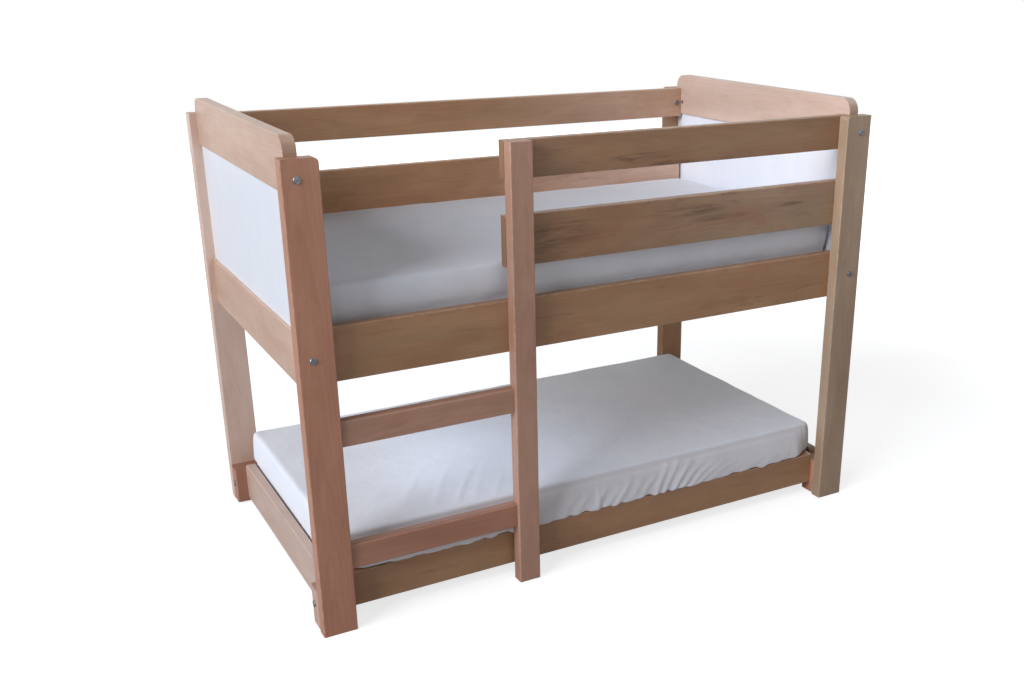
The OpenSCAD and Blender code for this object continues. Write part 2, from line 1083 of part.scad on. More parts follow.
module upper_cleat_screws() {
    color(steel)
        both_sides()
            at_cleat_screws(upper_cleat_x, rail_back, upper_top)
                screw(cleat_screw_l);
}

module lower_cleat_screws() {
    color(steel)
        both_sides()
            at_cleat_screws(lower_cleat_x, leg_back, lower_top)
                screw(cleat_screw_l);
}

module upper_slat_screws() {
    color(steel)
        both_sides()
            at_slat_screws(upper_cleat_x, rail_back, upper_top)
                screw(slat_screw_l);
}

module lower_slat_screws() {
    color(steel)
        both_sides()
            at_slat_screws(lower_cleat_x, leg_back, lower_top)
                screw(slat_screw_l);
}

front_left_post();
front_right_post();
back_left_post();
back_right_post();
ladder_post();
rung(0);  // lower_rung
rung(1);  // upper_rung
left_end_top_board();
left_end_panel();
left_end_bottom_board();
right_end_top_board();
right_end_panel();
right_end_bottom_board();
front_top_guard();
front_mid_guard();
front_mattress_rail();
back_top_guard();
back_mid_guard();
back_mattress_rail();
upper_front_cleat();
upper_back_cleat();
upper_slats();
upper_mattress();
upper_fitted_sheet();
front_left_leg();
front_right_leg();
back_left_leg();
back_right_leg();
lower_front_rail();
lower_back_rail();
lower_left_end_rail();
lower_right_end_rail();
lower_front_cleat();
lower_back_cleat();
lower_slats();
lower_mattress();
lower_fitted_sheet();
end_board_bolts();
end_board_nuts();
end_board_dowels();
rail_bolts();
rail_inserts();
rung_dowels();
lower_rail_bolts();
lower_rail_nuts();
leg_screws();
end_rail_screws();
upper_cleat_screws();
lower_cleat_screws();
upper_slat_screws();
lower_slat_screws();
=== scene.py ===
"""Low children's bunk bed in beech: its finishes, mattresses and fitted sheets, light and camera."""
from __future__ import annotations

import functools
import logging
import math
from collections.abc import Mapping, Sequence
from dataclasses import dataclass
from enum import Enum

import bmesh
import bpy
import numpy as np
from mathutils import Euler, Matrix, Vector


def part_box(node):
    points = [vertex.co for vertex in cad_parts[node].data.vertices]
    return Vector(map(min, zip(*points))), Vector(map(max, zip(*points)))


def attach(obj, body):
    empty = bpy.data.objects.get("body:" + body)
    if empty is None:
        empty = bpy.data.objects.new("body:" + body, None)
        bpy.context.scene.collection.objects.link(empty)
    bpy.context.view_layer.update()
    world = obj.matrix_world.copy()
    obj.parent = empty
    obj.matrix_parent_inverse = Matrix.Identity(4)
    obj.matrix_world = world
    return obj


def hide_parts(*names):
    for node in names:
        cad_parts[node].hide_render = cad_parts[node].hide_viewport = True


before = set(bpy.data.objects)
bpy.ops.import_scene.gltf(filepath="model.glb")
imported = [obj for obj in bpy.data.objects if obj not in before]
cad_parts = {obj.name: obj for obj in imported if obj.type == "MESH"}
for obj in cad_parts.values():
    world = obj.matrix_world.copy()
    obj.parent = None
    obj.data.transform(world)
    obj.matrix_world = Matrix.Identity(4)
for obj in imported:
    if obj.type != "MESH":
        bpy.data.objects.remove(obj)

log = logging.getLogger("bunk_bed")

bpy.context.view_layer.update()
MM = 0.001
Triple = tuple[float, float, float]
Colour = tuple[float, float, float]
Opaque = tuple[float, float, float, float]


def linear(red: int, green: int, blue: int) -> Opaque:
    """Turn a screen colour into the linear colour that shaders take.

    Args:
        red: Red from 0 to 255.
        green: Green from 0 to 255.
        blue: Blue from 0 to 255.

    Returns:
        The linear colour with an alpha of 1.
    """
    shares = (channel / 255 for channel in (red, green, blue))
    curve = (share / 12.92 if share <= 0.04045 else ((share + 0.055) / 1.055) ** 2.4 for share in shares)
    return (*curve, 1.0)


def shaded(colour: Opaque, shade: float) -> Opaque:
    """The same colour, lighter by a factor above 1 or darker by one below it."""
    red, green, blue, _ = colour
    return (red * shade, green * shade, blue * shade, 1.0)


# Shader building


class Value:
    """A number, colour or vector that comes out of a node, with the arithmetic that adds Math nodes."""

    def __init__(self, shader: Shader, socket: bpy.types.NodeSocket) -> None:
        """Keep the shader that owns the socket, and the socket."""
        self.shader = shader
        self.socket = socket

    def __add__(self, other: Value | float) -> Value:
        """Add."""
        return self.shader.math("ADD", self, other)

    def __radd__(self, other: float) -> Value:
        """Add this value to a number."""
        return self.shader.math("ADD", other, self)

    def __sub__(self, other: Value | float) -> Value:
        """Subtract."""
        return self.shader.math("SUBTRACT", self, other)

    def __rsub__(self, other: float) -> Value:
        """Subtract this value from a number."""
        return self.shader.math("SUBTRACT", other, self)

    def __mul__(self, other: Value | float) -> Value:
        """Multiply."""
        return self.shader.math("MULTIPLY", self, other)

    def __rmul__(self, other: float) -> Value:
        """Multiply a number by this value."""
        return self.shader.math("MULTIPLY", other, self)

    def __truediv__(self, other: Value | float) -> Value:
        """Divide."""
        return self.shader.math("DIVIDE", self, other)

    def __rtruediv__(self, other: float) -> Value:
        """Divide a number by this value."""
        return self.shader.math("DIVIDE", other, self)

    def smooth(self, low: float, high: float) -> Value:
        """Rise smoothly from 0 at low to 1 at high, or fall where low is above high.

        Args:
            low: Value that gives 0.
            high: Value that gives 1.

        Returns:
            The smooth step.
        """
        settings = {"interpolation_type": "SMOOTHSTEP"}
        if low > high:
            return 1 - self.shader.node("ShaderNodeMapRange", settings, {0: self, 1: high, 2: low})
        return self.shader.node("ShaderNodeMapRange", settings, {0: self, 1: low, 2: high})


class Shader:
    """One material, or the world, and the nodes that are added to it."""

    def __init__(self, owner: bpy.types.Material | bpy.types.World) -> None:
        """Start with no nodes.

        Args:
            owner: The material or the world.
        """
        self.owner = owner
        self.owner.use_nodes = True
        self.tree = self.owner.node_tree
        self.tree.nodes.clear()

    @classmethod
    def named(cls, name: str) -> Shader:
        """Start an empty material of this name."""
        return cls(bpy.data.materials.new(name))

    def node(
        self,
        kind: str,
        settings: Mapping[str, object] | None = None,
        inputs: Mapping[str | int, object] | None = None,
        output: str | int = 0,
    ) -> Value:
        """Add one node: its settings are set first, and then its sockets are filled or linked.

        Args:
            kind: Type of the node.
            settings: Properties of the node, such as a Math node's operation.
            inputs: Numbers, colours or values by socket name or number.
            output: Name or number of the socket that is returned.

        Returns:
            The chosen output.
        """
        made = self.tree.nodes.new(kind)
        for name, setting in (settings or {}).items():
            setattr(made, name, setting)
        for key, source in (inputs or {}).items():
            if isinstance(source, Value):
                self.tree.links.new(source.socket, made.inputs[key])
            else:
                made.inputs[key].default_value = source
        return Value(self, made.outputs[output])

    def finish(self, surface: Value) -> bpy.types.Material | bpy.types.World:
        """Send a shader to the output.

        Args:
            surface: The shader.

        Returns:
            The material or the world.
        """
        whole = isinstance(self.owner, bpy.types.World)
        out = self.tree.nodes.new("ShaderNodeOutputWorld" if whole else "ShaderNodeOutputMaterial")
        self.tree.links.new(surface.socket, out.inputs["Surface"])
        return self.owner

    def math(self, operation: str, *operands: Value | float) -> Value:
        """Add a Math node on the operands."""
        return self.node("ShaderNodeMath", {"operation": operation}, dict(enumerate(operands)))

    def mix(self, share: Value | float, start: object, end: object) -> Value:
        """Mix two colours.

        Args:
            share: Share of the end colour.
            start: Colour at a share of 0.
            end: Colour at a share of 1.

        Returns:
            The mixed colour.
        """
        return self.node("ShaderNodeMix", {"data_type": "RGBA"}, {0: share, 6: start, 7: end}, output=2)

    def stretch(self, place: Value, scale: Triple, shift: Triple = (0, 0, 0)) -> Value:
        """Scale a place along its axes, then shift it."""
        return self.node("ShaderNodeMapping", inputs={"Vector": place, "Scale": scale, "Location": shift})

    def noise(self, place: Value, scale: Triple, detail: float = 2, rough: float = 0.5,
              bend: float = 0) -> Value:
        """Noise of about 0.5 whose grains have a size of one over the scale on each axis.

        Args:
            place: Coordinates in metres.
            scale: Grains to a metre on each axis.
            detail: Number of finer layers.
            rough: Strength of the finer layers.
            bend: Distortion.

        Returns:
            The noise, from 0 to 1.
        """
        inputs = {"Vector": self.stretch(place, scale), "Scale": 1.0, "Detail": detail,
                  "Roughness": rough, "Distortion": bend}
        return self.node("ShaderNodeTexNoise", inputs=inputs)

    def object_place(self) -> Value:
        """Coordinates on the object, in metres."""
        return self.node("ShaderNodeTexCoord", output="Object")

    def axes(self, place: Value) -> tuple[Value, Value, Value]:
        """Split a place into its three coordinates."""
        split = self.node("ShaderNodeSeparateXYZ", inputs={0: place})
        return tuple(Value(self, socket) for socket in split.socket.node.outputs)

    def surface(self, height: Value | None, depth: float, inputs: Mapping[str, object]) -> bpy.types.Material:
        """Finish the material with one shader, with an optional relief.

        Args:
            height: Relief from 0 to 1, or None.
            depth: Depth in metres that a relief of 1 stands for.
            inputs: Sockets of the Principled shader.

        Returns:
            The material.
        """
        filled = dict(inputs)
        if height is not None:
            filled["Normal"] = self.node("ShaderNodeBump", inputs={"Height": height, "Distance": depth})
        return self.finish(self.node("ShaderNodeBsdfPrincipled", inputs=filled))


# Finishes


class Grain(Enum):
    """Direction of a board's grain, as the turn that brings it to X."""

    ALONG_X = (0.0, 0.0, 0.0)
    ALONG_Y = (0.0, 0.0, -math.pi / 2)
    ALONG_Z = (0.0, math.pi / 2, 0.0)

    @property
    def across(self) -> tuple[int, int]:
        """Numbers of the two axes across the grain."""
        return {"ALONG_X": (1, 2), "ALONG_Y": (0, 2), "ALONG_Z": (0, 1)}[self.name]


class Tone(Enum):
    """Light and dark colour of a beech board."""

    ROSY = (linear(195, 142, 116), linear(153, 100, 76))
    WARM = (linear(188, 146, 125), linear(147, 105, 84))
    DEEP = (linear(184, 133, 109), linear(137, 92, 71))
    BROWN = (linear(180, 138, 103), linear(136, 96, 67))
    GREYISH = (linear(190, 163, 138), linear(146, 119, 95))
    PALE = (linear(207, 175, 154), linear(171, 135, 113))
    FAIR = (linear(212, 186, 170), linear(180, 150, 134))


@dataclass(frozen=True)
class Mark:
    """A soft dark streak on a rail, as the photograph shows it.

    Attributes:
        along: Place of its middle along the bed, in metres.
        up: Height of its middle over the floor.
        reach: Half its length.
        rise: Half its height.
        strength: Share of the dark colour in its middle.
    """

    along: float
    up: float
    reach: float
    rise: float
    strength: float


@dataclass(frozen=True)
class Board:
    """One beech board or post.

    Attributes:
        node: Name of its CAD node.
        grain: Direction of its grain.
        tone: Its light and dark colour.
        shade: Factor on both colours: mostly the wood's own lightness, but painted light on the back guards,
            the back right post and the left end boards, and painted shade on the lower right end rail.
        figure: Strength of its stains, streaks and changes of hue.
        far_tone_and_light: Tone of its right end, where that differs; on the back guards it is painted light.
        marks: Its dark streaks.
    """

    node: str
    grain: Grain
    tone: Tone
    shade: float = 1.0
    figure: float = 0.3
    far_tone_and_light: Tone | None = None
    marks: tuple[Mark, ...] = ()


@dataclass(frozen=True)
class BeechFinish:
    """Steamed beech under satin lacquer: rings, fibres, flecks, soft stains, and rubbed long edges, lighter
    with a painted highlight.

    Attributes:
        board: The board that wears it.
        seed: Seed of the board's own random numbers.
        pith_away: Distance of the pith from the board's middle, in metres.
        ring_width: Width of a growth ring.
        lacquer: Roughness of the lacquer.
        far_span: Places along the bed between which the far tone comes in; on the back guards it is painted
            light.
        far_share: Share of the far tone past them.
    """

    board: Board
    seed: int
    pith_away: float = 0.085
    ring_width: float = 0.0042
    lacquer: float = 0.36
    far_span: tuple[float, float] = (-0.1, 0.55)
    far_share: float = 0.6
    reddish: Opaque = linear(158, 98, 66)
    olive: Opaque = linear(148, 124, 90)
    stained: Opaque = linear(108, 76, 56)
    streaked: Opaque = linear(84, 56, 40)
    marked: Opaque = linear(72, 46, 30)
    flecked: Opaque = linear(100, 68, 50)
    end_grain: Opaque = linear(124, 88, 66)
    worn_and_highlit: Opaque = linear(214, 186, 166)

    def material(self) -> bpy.types.Material:
        """Build the material.

        The grain's coordinates are turned so that X runs along the board. Rings are the fraction of the
        distance from a pith that lies off the board and leans a little, so that long arches show on the
        face and arcs on the ends.

        Returns:
            The material.
        """
        shader = Shader.named(f"beech_{self.board.node}")
        place = shader.object_place()
        chance = np.random.default_rng(self.seed)
        shift = tuple(float(number) for number in chance.uniform(-40, 40, 3))
        rotation = self.board.grain.value
        turned = shader.node("ShaderNodeMapping", inputs={"Vector": place, "Rotation": rotation})
        grain = shader.stretch(turned, (1, 1, 1), shift)

        rings = self._rings(shader, turned, grain, chance)
        cloud = shader.noise(grain, (1.5, 7, 7), 2) - 0.5
        blotch = shader.noise(grain, (7, 16, 16), 3, 0.55, 0.6) - 0.5
        fibre = shader.noise(grain, (4, 150, 150), 4, 0.55) - 0.5
        fine = shader.noise(grain, (22, 850, 850), 2, 0.5) - 0.5
        fleck = shader.noise(grain, (190, 1500, 1500), 1, 0.4).smooth(0.62, 0.74)
        wear_and_highlight, end_face = self._edges(shader, place)

        depth = 0.46 + cloud * 1.1 + blotch * 0.45 + rings * 0.08 + fibre * 0.3 + fine * 0.14
        colour = self._figured(shader, place, grain, depth)
        colour = shader.mix(fleck * 0.12, colour, self.flecked)
        colour = shader.mix(end_face * 0.35, colour, self.end_grain)
        # The long edges turn lighter: rubbed lacquer, and a painted highlight along the arrises.
        colour = shader.mix(wear_and_highlight * 0.3, colour, self.worn_and_highlit)
        rough = self.lacquer + fibre * 0.14 + blotch * 0.1 + fleck * 0.16 + wear_and_highlight * 0.12 + end_face * 0.16
        height = 0.5 + fibre * 0.4 + fine * 0.35 - fleck * 0.5 + cloud * 0.8
        return shader.surface(height, 0.3 * MM, {
            "Base Color": colour, "Roughness": rough, "Specular IOR Level": 0.45,
            "Coat Weight": 0.1, "Coat Roughness": 0.26, "Coat IOR": 1.48,
        })

    def _figured(self, shader: Shader, place: Value, grain: Value, depth: Value) -> Value:
        """Colour of the wood: its tone, and on it the changes of hue, the stains and the streaks.

        Args:
            shader: The material's shader.
            place: Object coordinates.
            grain: Coordinates along the grain, for the noises.
            depth: Depth of the figure, where 0 is the tone's light colour and 1 its dark one.

        Returns:
            The colour.
        """
        figure = self.board.figure
        hue = shader.noise(grain, (3.5, 10, 10), 3, 0.6, 0.8)
        stain = shader.noise(grain, (5, 26, 26), 3, 0.55, 1.6).smooth(0.56, 0.78)
        streak = shader.noise(grain, (9, 75, 75), 3, 0.6, 1.2).smooth(0.6, 0.76)
        colour = self._toned(shader, depth, self.board.tone)
        # On the back guards the tone of the right end is painted light: their right ends turn paler as if
        # more light fell there.
        if self.board.far_tone_and_light:
            share = shader.axes(place)[0].smooth(*self.far_span) * self.far_share
            colour = shader.mix(share, colour, self._toned(shader, depth, self.board.far_tone_and_light))
        hue_share = 0.1 + 0.3 * figure
        colour = shader.mix(hue.smooth(0.52, 0.72) * hue_share, colour, self.reddish)
        colour = shader.mix(hue.smooth(0.48, 0.3) * hue_share, colour, self.olive)
        colour = shader.mix(stain * (0.4 * figure), colour, self.stained)
        colour = shader.mix(streak * stain * (0.7 * figure), colour, self.streaked)
        if self.board.marks:
            colour = shader.mix(self._marked(shader, place, grain), colour, self.marked)
        return colour

    def _toned(self, shader: Shader, depth: Value, tone: Tone) -> Value:
        """A tone's light and dark colour times the board's shade, mixed by the depth of the figure."""
        light, dark = (shaded(colour, self.board.shade) for colour in tone.value)
        return shader.mix(depth.smooth(-0.15, 1.15), light, dark)

    def _marked(self, shader: Shader, place: Value, grain: Value) -> Value:
        """Share of the dark streaks at each point, broken up along the grain.

        A mark fades by a smooth step of the squared distance from its middle, in shares of its reach
        and rise, and where two meet the stronger one counts.

        Args:
            shader: The material's shader.
            place: Object coordinates.
            grain: Coordinates along the grain, for the noise.

        Returns:
            The strongest mark's share.
        """
        along, _, up = shader.axes(place)
        shares = []
        for mark in self.board.marks:
            gap_along = (along - mark.along) / mark.reach
            gap_up = (up - mark.up) / mark.rise
            shares.append((gap_along * gap_along + gap_up * gap_up).smooth(1.0, 0.0) * mark.strength)
        strongest = functools.reduce(lambda first, second: shader.math("MAXIMUM", first, second), shares)
        return strongest * shader.noise(grain, (7, 70, 70), 3, 0.6, 0.8).smooth(0.3, 0.66)

    def _rings(self, shader: Shader, turned: Value, grain: Value, chance: np.random.Generator) -> Value:
        """Growth rings, as the fraction of the distance from the pith over a ring's width.

        The pith lies off the board's broad side, at the same distance for every board, and the distance
        from it is bent by a slow noise.

        Args:
            shader: The material's shader.
            turned: Coordinates with X along the board.
            grain: The same, shifted for the noises.
            chance: The board's random numbers.

        Returns:
            A dark line at the end of each ring's width.
        """
        low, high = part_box(self.board.node)
        turn = Euler(self.board.grain.value).to_matrix()
        middle = turn @ ((Vector(low) + Vector(high)) / 2)
        size = turn @ (Vector(high) - Vector(low))
        lean = float(chance.uniform(0.01, 0.035))
        side = float(chance.uniform(-0.02, 0.02))
        broad_y = abs(size.y) >= abs(size.z)
        off_y, off_z = (side, self.pith_away) if broad_y else (self.pith_away, side)
        along, here_y, here_z = shader.axes(turned)
        bend = (shader.noise(grain, (2.4, 9, 9), 2) - 0.5) * 0.012
        gap_y = here_y + (off_y - middle.y) + along * lean + bend
        gap_z = here_z + (off_z - middle.z) + bend
        reach = shader.math("SQRT", gap_y * gap_y + gap_z * gap_z)
        part = shader.math("FRACT", reach / self.ring_width)
        return part.smooth(0.25, 0.92) - part.smooth(0.93, 1.0)

    def _edges(self, shader: Shader, place: Value) -> tuple[Value, Value]:
        """Masks of the long edges, rubbed and given a painted highlight, and of the end faces, from the
        board's own box.

        Args:
            shader: The material's shader.
            place: Object coordinates.

        Returns:
            The mask of the edges, and that of the end faces.
        """
        low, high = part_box(self.board.node)
        across = self.board.grain.across
        here = shader.axes(place)
        gaps = [shader.math("MINIMUM", here[axis] - low[axis], high[axis] - here[axis]) for axis in across]
        wear_and_highlight = shader.math("MAXIMUM", *gaps).smooth(5 * MM, 0.6 * MM)
        patchy = shader.noise(place, (60, 60, 60), 2).smooth(0.35, 0.7)
        normal = shader.axes(shader.node("ShaderNodeTexCoord", output="Normal"))
        axis = ({0, 1, 2} - set(across)).pop()
        end_face = shader.math("ABSOLUTE", normal[axis]).smooth(0.7, 0.95)
        return wear_and_highlight * patchy, end_face


@dataclass(frozen=True)
class SlatFinish:
    """Planed, unlacquered wood of the slats, cleats and dowels.

    Attributes:
        name: Name of the material.
        grain: Direction of the grain.
        pitch: Length along the bed after which another tone comes, so that the slats differ.
    """

    name: str
    grain: Grain
    light: Opaque = linear(222, 196, 158)
    dark: Opaque = linear(186, 150, 108)
    flecked: Opaque = linear(140, 104, 70)
    pitch: float = 0.12

    def material(self) -> bpy.types.Material:
        """Build the material: a tone for each pitch along the bed, and streaks along the grain.

        Returns:
            The material.
        """
        shader = Shader.named(self.name)
        place = shader.object_place()
        grain = shader.node("ShaderNodeMapping", inputs={"Vector": place, "Rotation": self.grain.value})
        along_bed = shader.axes(place)[0]
        number = shader.math("FLOOR", along_bed / self.pitch)
        own = shader.node("ShaderNodeTexWhiteNoise", {"noise_dimensions": "1D"}, {"W": number})
        streak = shader.noise(grain, (3, 110, 110), 5, 0.6) - 0.5
        band = shader.noise(grain, (1.2, 26, 26), 2, 0.5, 0.8) - 0.5
        fleck = shader.noise(grain, (120, 1300, 1300), 1).smooth(0.6, 0.75)
        depth = own * 0.35 + streak * 1.1 + band * 0.8 + 0.3
        colour = shader.mix(depth.smooth(0, 1), self.light, self.dark)
        colour = shader.mix(fleck * 0.3, colour, self.flecked)
        height = streak + 0.5 - fleck * 0.5
        return shader.surface(height, 0.4 * MM, {
            "Base Color": colour, "Roughness": 0.62 + streak * 0.2, "Specular IOR Level": 0.35,
        })


@dataclass(frozen=True)
class WhitePanelFinish:
    """White faced panel: a faint orange peel and slightly dusty, scuffed patches."""

    name: str
    clean: Opaque = linear(236, 237, 242)
    dusty: Opaque = linear(228, 230, 238)
    scuffed: Opaque = linear(205, 207, 214)

    def material(self) -> bpy.types.Material:
        """Build the material.

        Returns:
            The material.
        """
        shader = Shader.named(self.name)
        place = shader.object_place()
        peel = shader.noise(place, (420, 420, 420), 2, 0.5)
        dust = shader.noise(place, (7, 7, 5), 4, 0.6) - 0.5
        scuff = shader.noise(place, (30, 9, 160), 3, 0.6).smooth(0.66, 0.8)
        colour = shader.mix((dust + 0.5).smooth(0.2, 0.8), self.clean, self.dusty)
        colour = shader.mix(scuff * 0.18, colour, self.scuffed)
        rough = 0.3 + dust * 0.12 + scuff * 0.15
        return shader.surface(peel, 0.06 * MM, {
            "Base Color": colour, "Roughness": rough, "Coat Weight": 0.2, "Coat Roughness": 0.18,
        })


@dataclass(frozen=True)
class CottonFinish:
    """White cotton of a fitted sheet: plain weave, slubs, soft creases and a little fuzz.

    Attributes:
        name: Name of the material.
        shade: Factor on the white; below 1 it darkens the whole cloth as painted shade.
        front_painted_shade_share: Share of the greyer colour, painted shade, where the cloth faces the front.
        thread: Distance between two threads, in metres.
    """

    name: str
    shade: float = 1.0
    front_painted_shade_share: float = 0.0
    thread: float = 0.7 * MM
    light: Opaque = linear(240, 241, 247)
    dark: Opaque = linear(229, 231, 239)
    painted_front_shade: Opaque = linear(196, 186, 184)

    def material(self) -> bpy.types.Material:
        """Build the material: two crossed sets of threads on the sheet's own UV map, in metres.

        Returns:
            The material.
        """
        shader = Shader.named(self.name)
        flat = shader.node("ShaderNodeUVMap", {"uv_map": "cloth"})
        u, v, _ = shader.axes(flat)
        turns = 2 * math.pi / self.thread
        warp = shader.math("SINE", u * turns) * 0.5 + 0.5
        weft = shader.math("SINE", v * turns) * 0.5 + 0.5
        weave = shader.math("MAXIMUM", warp, weft)
        slub = shader.noise(flat, (60, 700, 1), 3, 0.6) - 0.5
        cross = shader.noise(flat, (700, 60, 1), 3, 0.6) - 0.5
        tint = shader.noise(flat, (5, 5, 1), 4, 0.6) - 0.5
        crease = shader.noise(flat, (14, 14, 1), 5, 0.62, 0.6)
        depth = (tint * 1.2 + slub * 0.5 + cross * 0.5 + 0.5).smooth(0, 1)
        colour = shader.mix(depth, shaded(self.light, self.shade), shaded(self.dark, self.shade))
        # Painted shade: where the cloth faces the front it turns greyer, as if less light reached it.
        if self.front_painted_shade_share:
            facing = shader.axes(shader.node("ShaderNodeTexCoord", output="Normal"))[1]
            colour = shader.mix(facing.smooth(-0.35, -0.9) * self.front_painted_shade_share, colour, self.painted_front_shade)
        height = weave * 0.1 + slub * 0.2 + cross * 0.2 + crease * 2.2
        return shader.surface(height, 0.9 * MM, {
            "Base Color": colour, "Roughness": 0.86 + slub * 0.1, "Specular IOR Level": 0.25,
            "Sheen Weight": 0.25, "Sheen Roughness": 0.45,
        })


@dataclass(frozen=True)
class TickingFinish:
    """Woven ticking of a mattress: off-white with fine raised stripes."""

    name: str
    stripe: float = 0.018
    twill: float = 1.4 * MM
    ground: Opaque = linear(226, 226, 222)
    striped: Opaque = linear(206, 210, 214)
    slubbed: Opaque = linear(196, 196, 190)

    def material(self) -> bpy.types.Material:
        """Build the material on the mattress's own UV map, in metres.

        Returns:
            The material.
        """
        shader = Shader.named(self.name)
        flat = shader.node("ShaderNodeUVMap", {"uv_map": "cloth"})
        u, v, _ = shader.axes(flat)
        stripe = shader.math("SINE", u * (2 * math.pi / self.stripe)).smooth(0.2, 0.7)
        twill = shader.math("SINE", (u + v) * (2 * math.pi / self.twill)) * 0.5 + 0.5
        slub = shader.noise(flat, (500, 80, 1), 3, 0.6) - 0.5
        colour = shader.mix(stripe * 0.6, self.ground, self.striped)
        colour = shader.mix((slub + 0.5).smooth(0.3, 1.1), colour, self.slubbed)
        return shader.surface(stripe * 0.5 + twill * 0.3 + slub * 0.4, 0.4 * MM, {
            "Base Color": colour, "Roughness": 0.9 + slub * 0.08, "Sheen Weight": 0.2,
        })


@dataclass(frozen=True)
class ZincFinish:
    """Bright zinc plate on steel, with small stains and worn spots."""

    name: str
    bright: Opaque = linear(148, 150, 155)
    stained: Opaque = linear(96, 96, 98)

    def material(self) -> bpy.types.Material:
        """Build the material.

        Returns:
            The material.
        """
        shader = Shader.named(self.name)
        place = shader.object_place()
        grains = shader.noise(place, (900, 900, 900), 3, 0.6) - 0.5
        stain = shader.noise(place, (140, 140, 140), 3, 0.6).smooth(0.45, 0.75)
        colour = shader.mix(stain, self.bright, self.stained)
        rough = 0.33 + stain * 0.2 + grains * 0.14
        return shader.surface(grains + 0.5, 0.05 * MM, {
            "Base Color": colour, "Roughness": rough, "Metallic": 1.0 - stain * 0.15,
        })


# Surfaces on a rounded rectangle


@dataclass(frozen=True)
class PadForm:
    """Sizes of a mattress in metres, on which its sheet is built too.

    Its foot is held between the bed's rails, and above them its long sides spread and swell out. The
    swell is full low down, where the sheet rests on the side rails.

    Attributes:
        low: Lowest corner of its box.
        high: Highest corner of its box.
        swell: How far the long sides swell.
        foot_width: Width between the rails.
        foot: Height up to which the rails hold it.
        spread: How far the long sides spread over the foot, apart from the swell.
        crown: Rise of the top towards its middle.
        corner: Radius of the upright corners.
        edge: Radius of the upper and lower edges.
        bow: How far every side bows out.
        swell_low: Power that moves the swell's peak down.
        swell_full: Power that makes the swell fuller.
        swell_end: Share of the swell that is left at the ends.
        end_span: Distances from the ends between which the swell fades to that share.
        held_steps: Steps of an outline's side up to the foot's height.
        side_power: Power that brings its points closer over the foot's height.
        top_power: Power that brings its points closer at the top's edge.
    """

    low: Triple
    high: Triple
    swell: float
    foot_width: float = 0.812
    foot: float = 0.0406
    spread: float = 0.012
    crown: float = 0.008
    corner: float = 0.018
    edge: float = 0.013
    bow: float = 0.003
    swell_low: float = 0.25
    swell_full: float = 0.6
    swell_end: float = 0.2
    end_span: tuple[float, float] = (0.08, 0.01)
    held_steps: int = 3
    side_power: float = 1.35
    top_power: float = 1.4

    @classmethod
    def of_node(cls, node: str, swell: float) -> PadForm:
        """Read the box of a node at rest, and keep it with the swell of the long sides."""
        low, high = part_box(node)
        return cls(tuple(low), tuple(high), swell)

    @property
    def half(self) -> tuple[float, float]:
        """Half the length, and half the width at the foot."""
        return (self.high[0] - self.low[0]) / 2, self.foot_width / 2

    @property
    def height(self) -> float:
        """Height of the side, without the crown."""
        return self.high[2] - self.low[2] - self.crown

    @property
    def rim(self) -> float:
        """Distance in from the outermost line to where the flat top starts."""
        return self.bow + self.edge

    def share_at(self, height: np.ndarray) -> np.ndarray:
        """Share of the way from the foot's height to the top's edge."""
        return np.clip((height - self.foot) / (self.height - self.edge - self.foot), 0, 1)

    def swell_at(self, height: np.ndarray) -> np.ndarray:
        """How far the long sides swell, as a half sine over the height.

        Its course is raised to a power below 1, so that it peaks low down, and so is its value.

        Args:
            height: Heights over the underside.

        Returns:
            The swell at each of them.
        """
        belly = np.sin(math.pi * self.share_at(height) ** self.swell_low)
        return self.swell * np.clip(belly, 0, 1) ** self.swell_full

    def out_at(self, height: np.ndarray) -> np.ndarray:
        """How far the long sides stand out over the foot: the spread as a quarter sine, and the swell."""
        return self.spread * np.sin(math.pi / 2 * self.share_at(height)) + self.swell_at(height)

    def outline(self, off: float, reach: float, steps: tuple[int, int, int, int]) -> np.ndarray:
        """Line from under the pad, round its side and over its top to the middle.

        The line has a straight underside, a quarter circle, a side that bows out as a half sine, a
        quarter circle, and a top that rises as a quarter sine to the crown. Its points are closer near
        the foot's height and near the top's edge.

        Args:
            off: Distance outside the pad.
            reach: How far the underside goes in from the bottom edge.
            steps: Steps on the underside, on each edge, on the side and on the top.

        Returns:
            Rows of distance in from the outermost line, height over the underside, and the distance
            that only the long sides stand out.
        """
        under_n, edge_n, side_n, top_n = steps
        turn = np.linspace(0, math.pi / 2, edge_n + 1)
        under = self.rim + reach * (1 - np.linspace(0, 1, under_n, endpoint=False))
        lower = np.stack([self.rim - (self.edge + off) * np.sin(turn),
                          self.edge - (self.edge + off) * np.cos(turn)], 1)
        span = self.height - 2 * self.edge
        foot = (self.foot - self.edge) / span
        held = np.linspace(0, foot, self.held_steps + 1)[1:]
        above = np.linspace(0, 1, side_n + 1)[1:-1] ** self.side_power
        rise = np.concatenate([held, foot + (1 - foot) * above])
        side = np.stack([self.bow * (1 - np.sin(math.pi * rise)) - off, self.edge + rise * span], 1)
        upper = np.stack([self.rim - (self.edge + off) * np.cos(turn),
                          self.height - self.edge + (self.edge + off) * np.sin(turn)], 1)
        width = self.half[1] + self.spread - self.rim
        share = np.linspace(0, 1, top_n + 1)[1:] ** self.top_power
        top = np.stack([self.rim + share * width,
                        self.height + off + self.crown * np.sin(share * math.pi / 2)], 1)
        flat = np.stack([under, np.full_like(under, -off)], 1)
        rows = np.concatenate([flat, lower, side, upper, top])
        return np.column_stack([rows, self.out_at(rows[:, 1])])


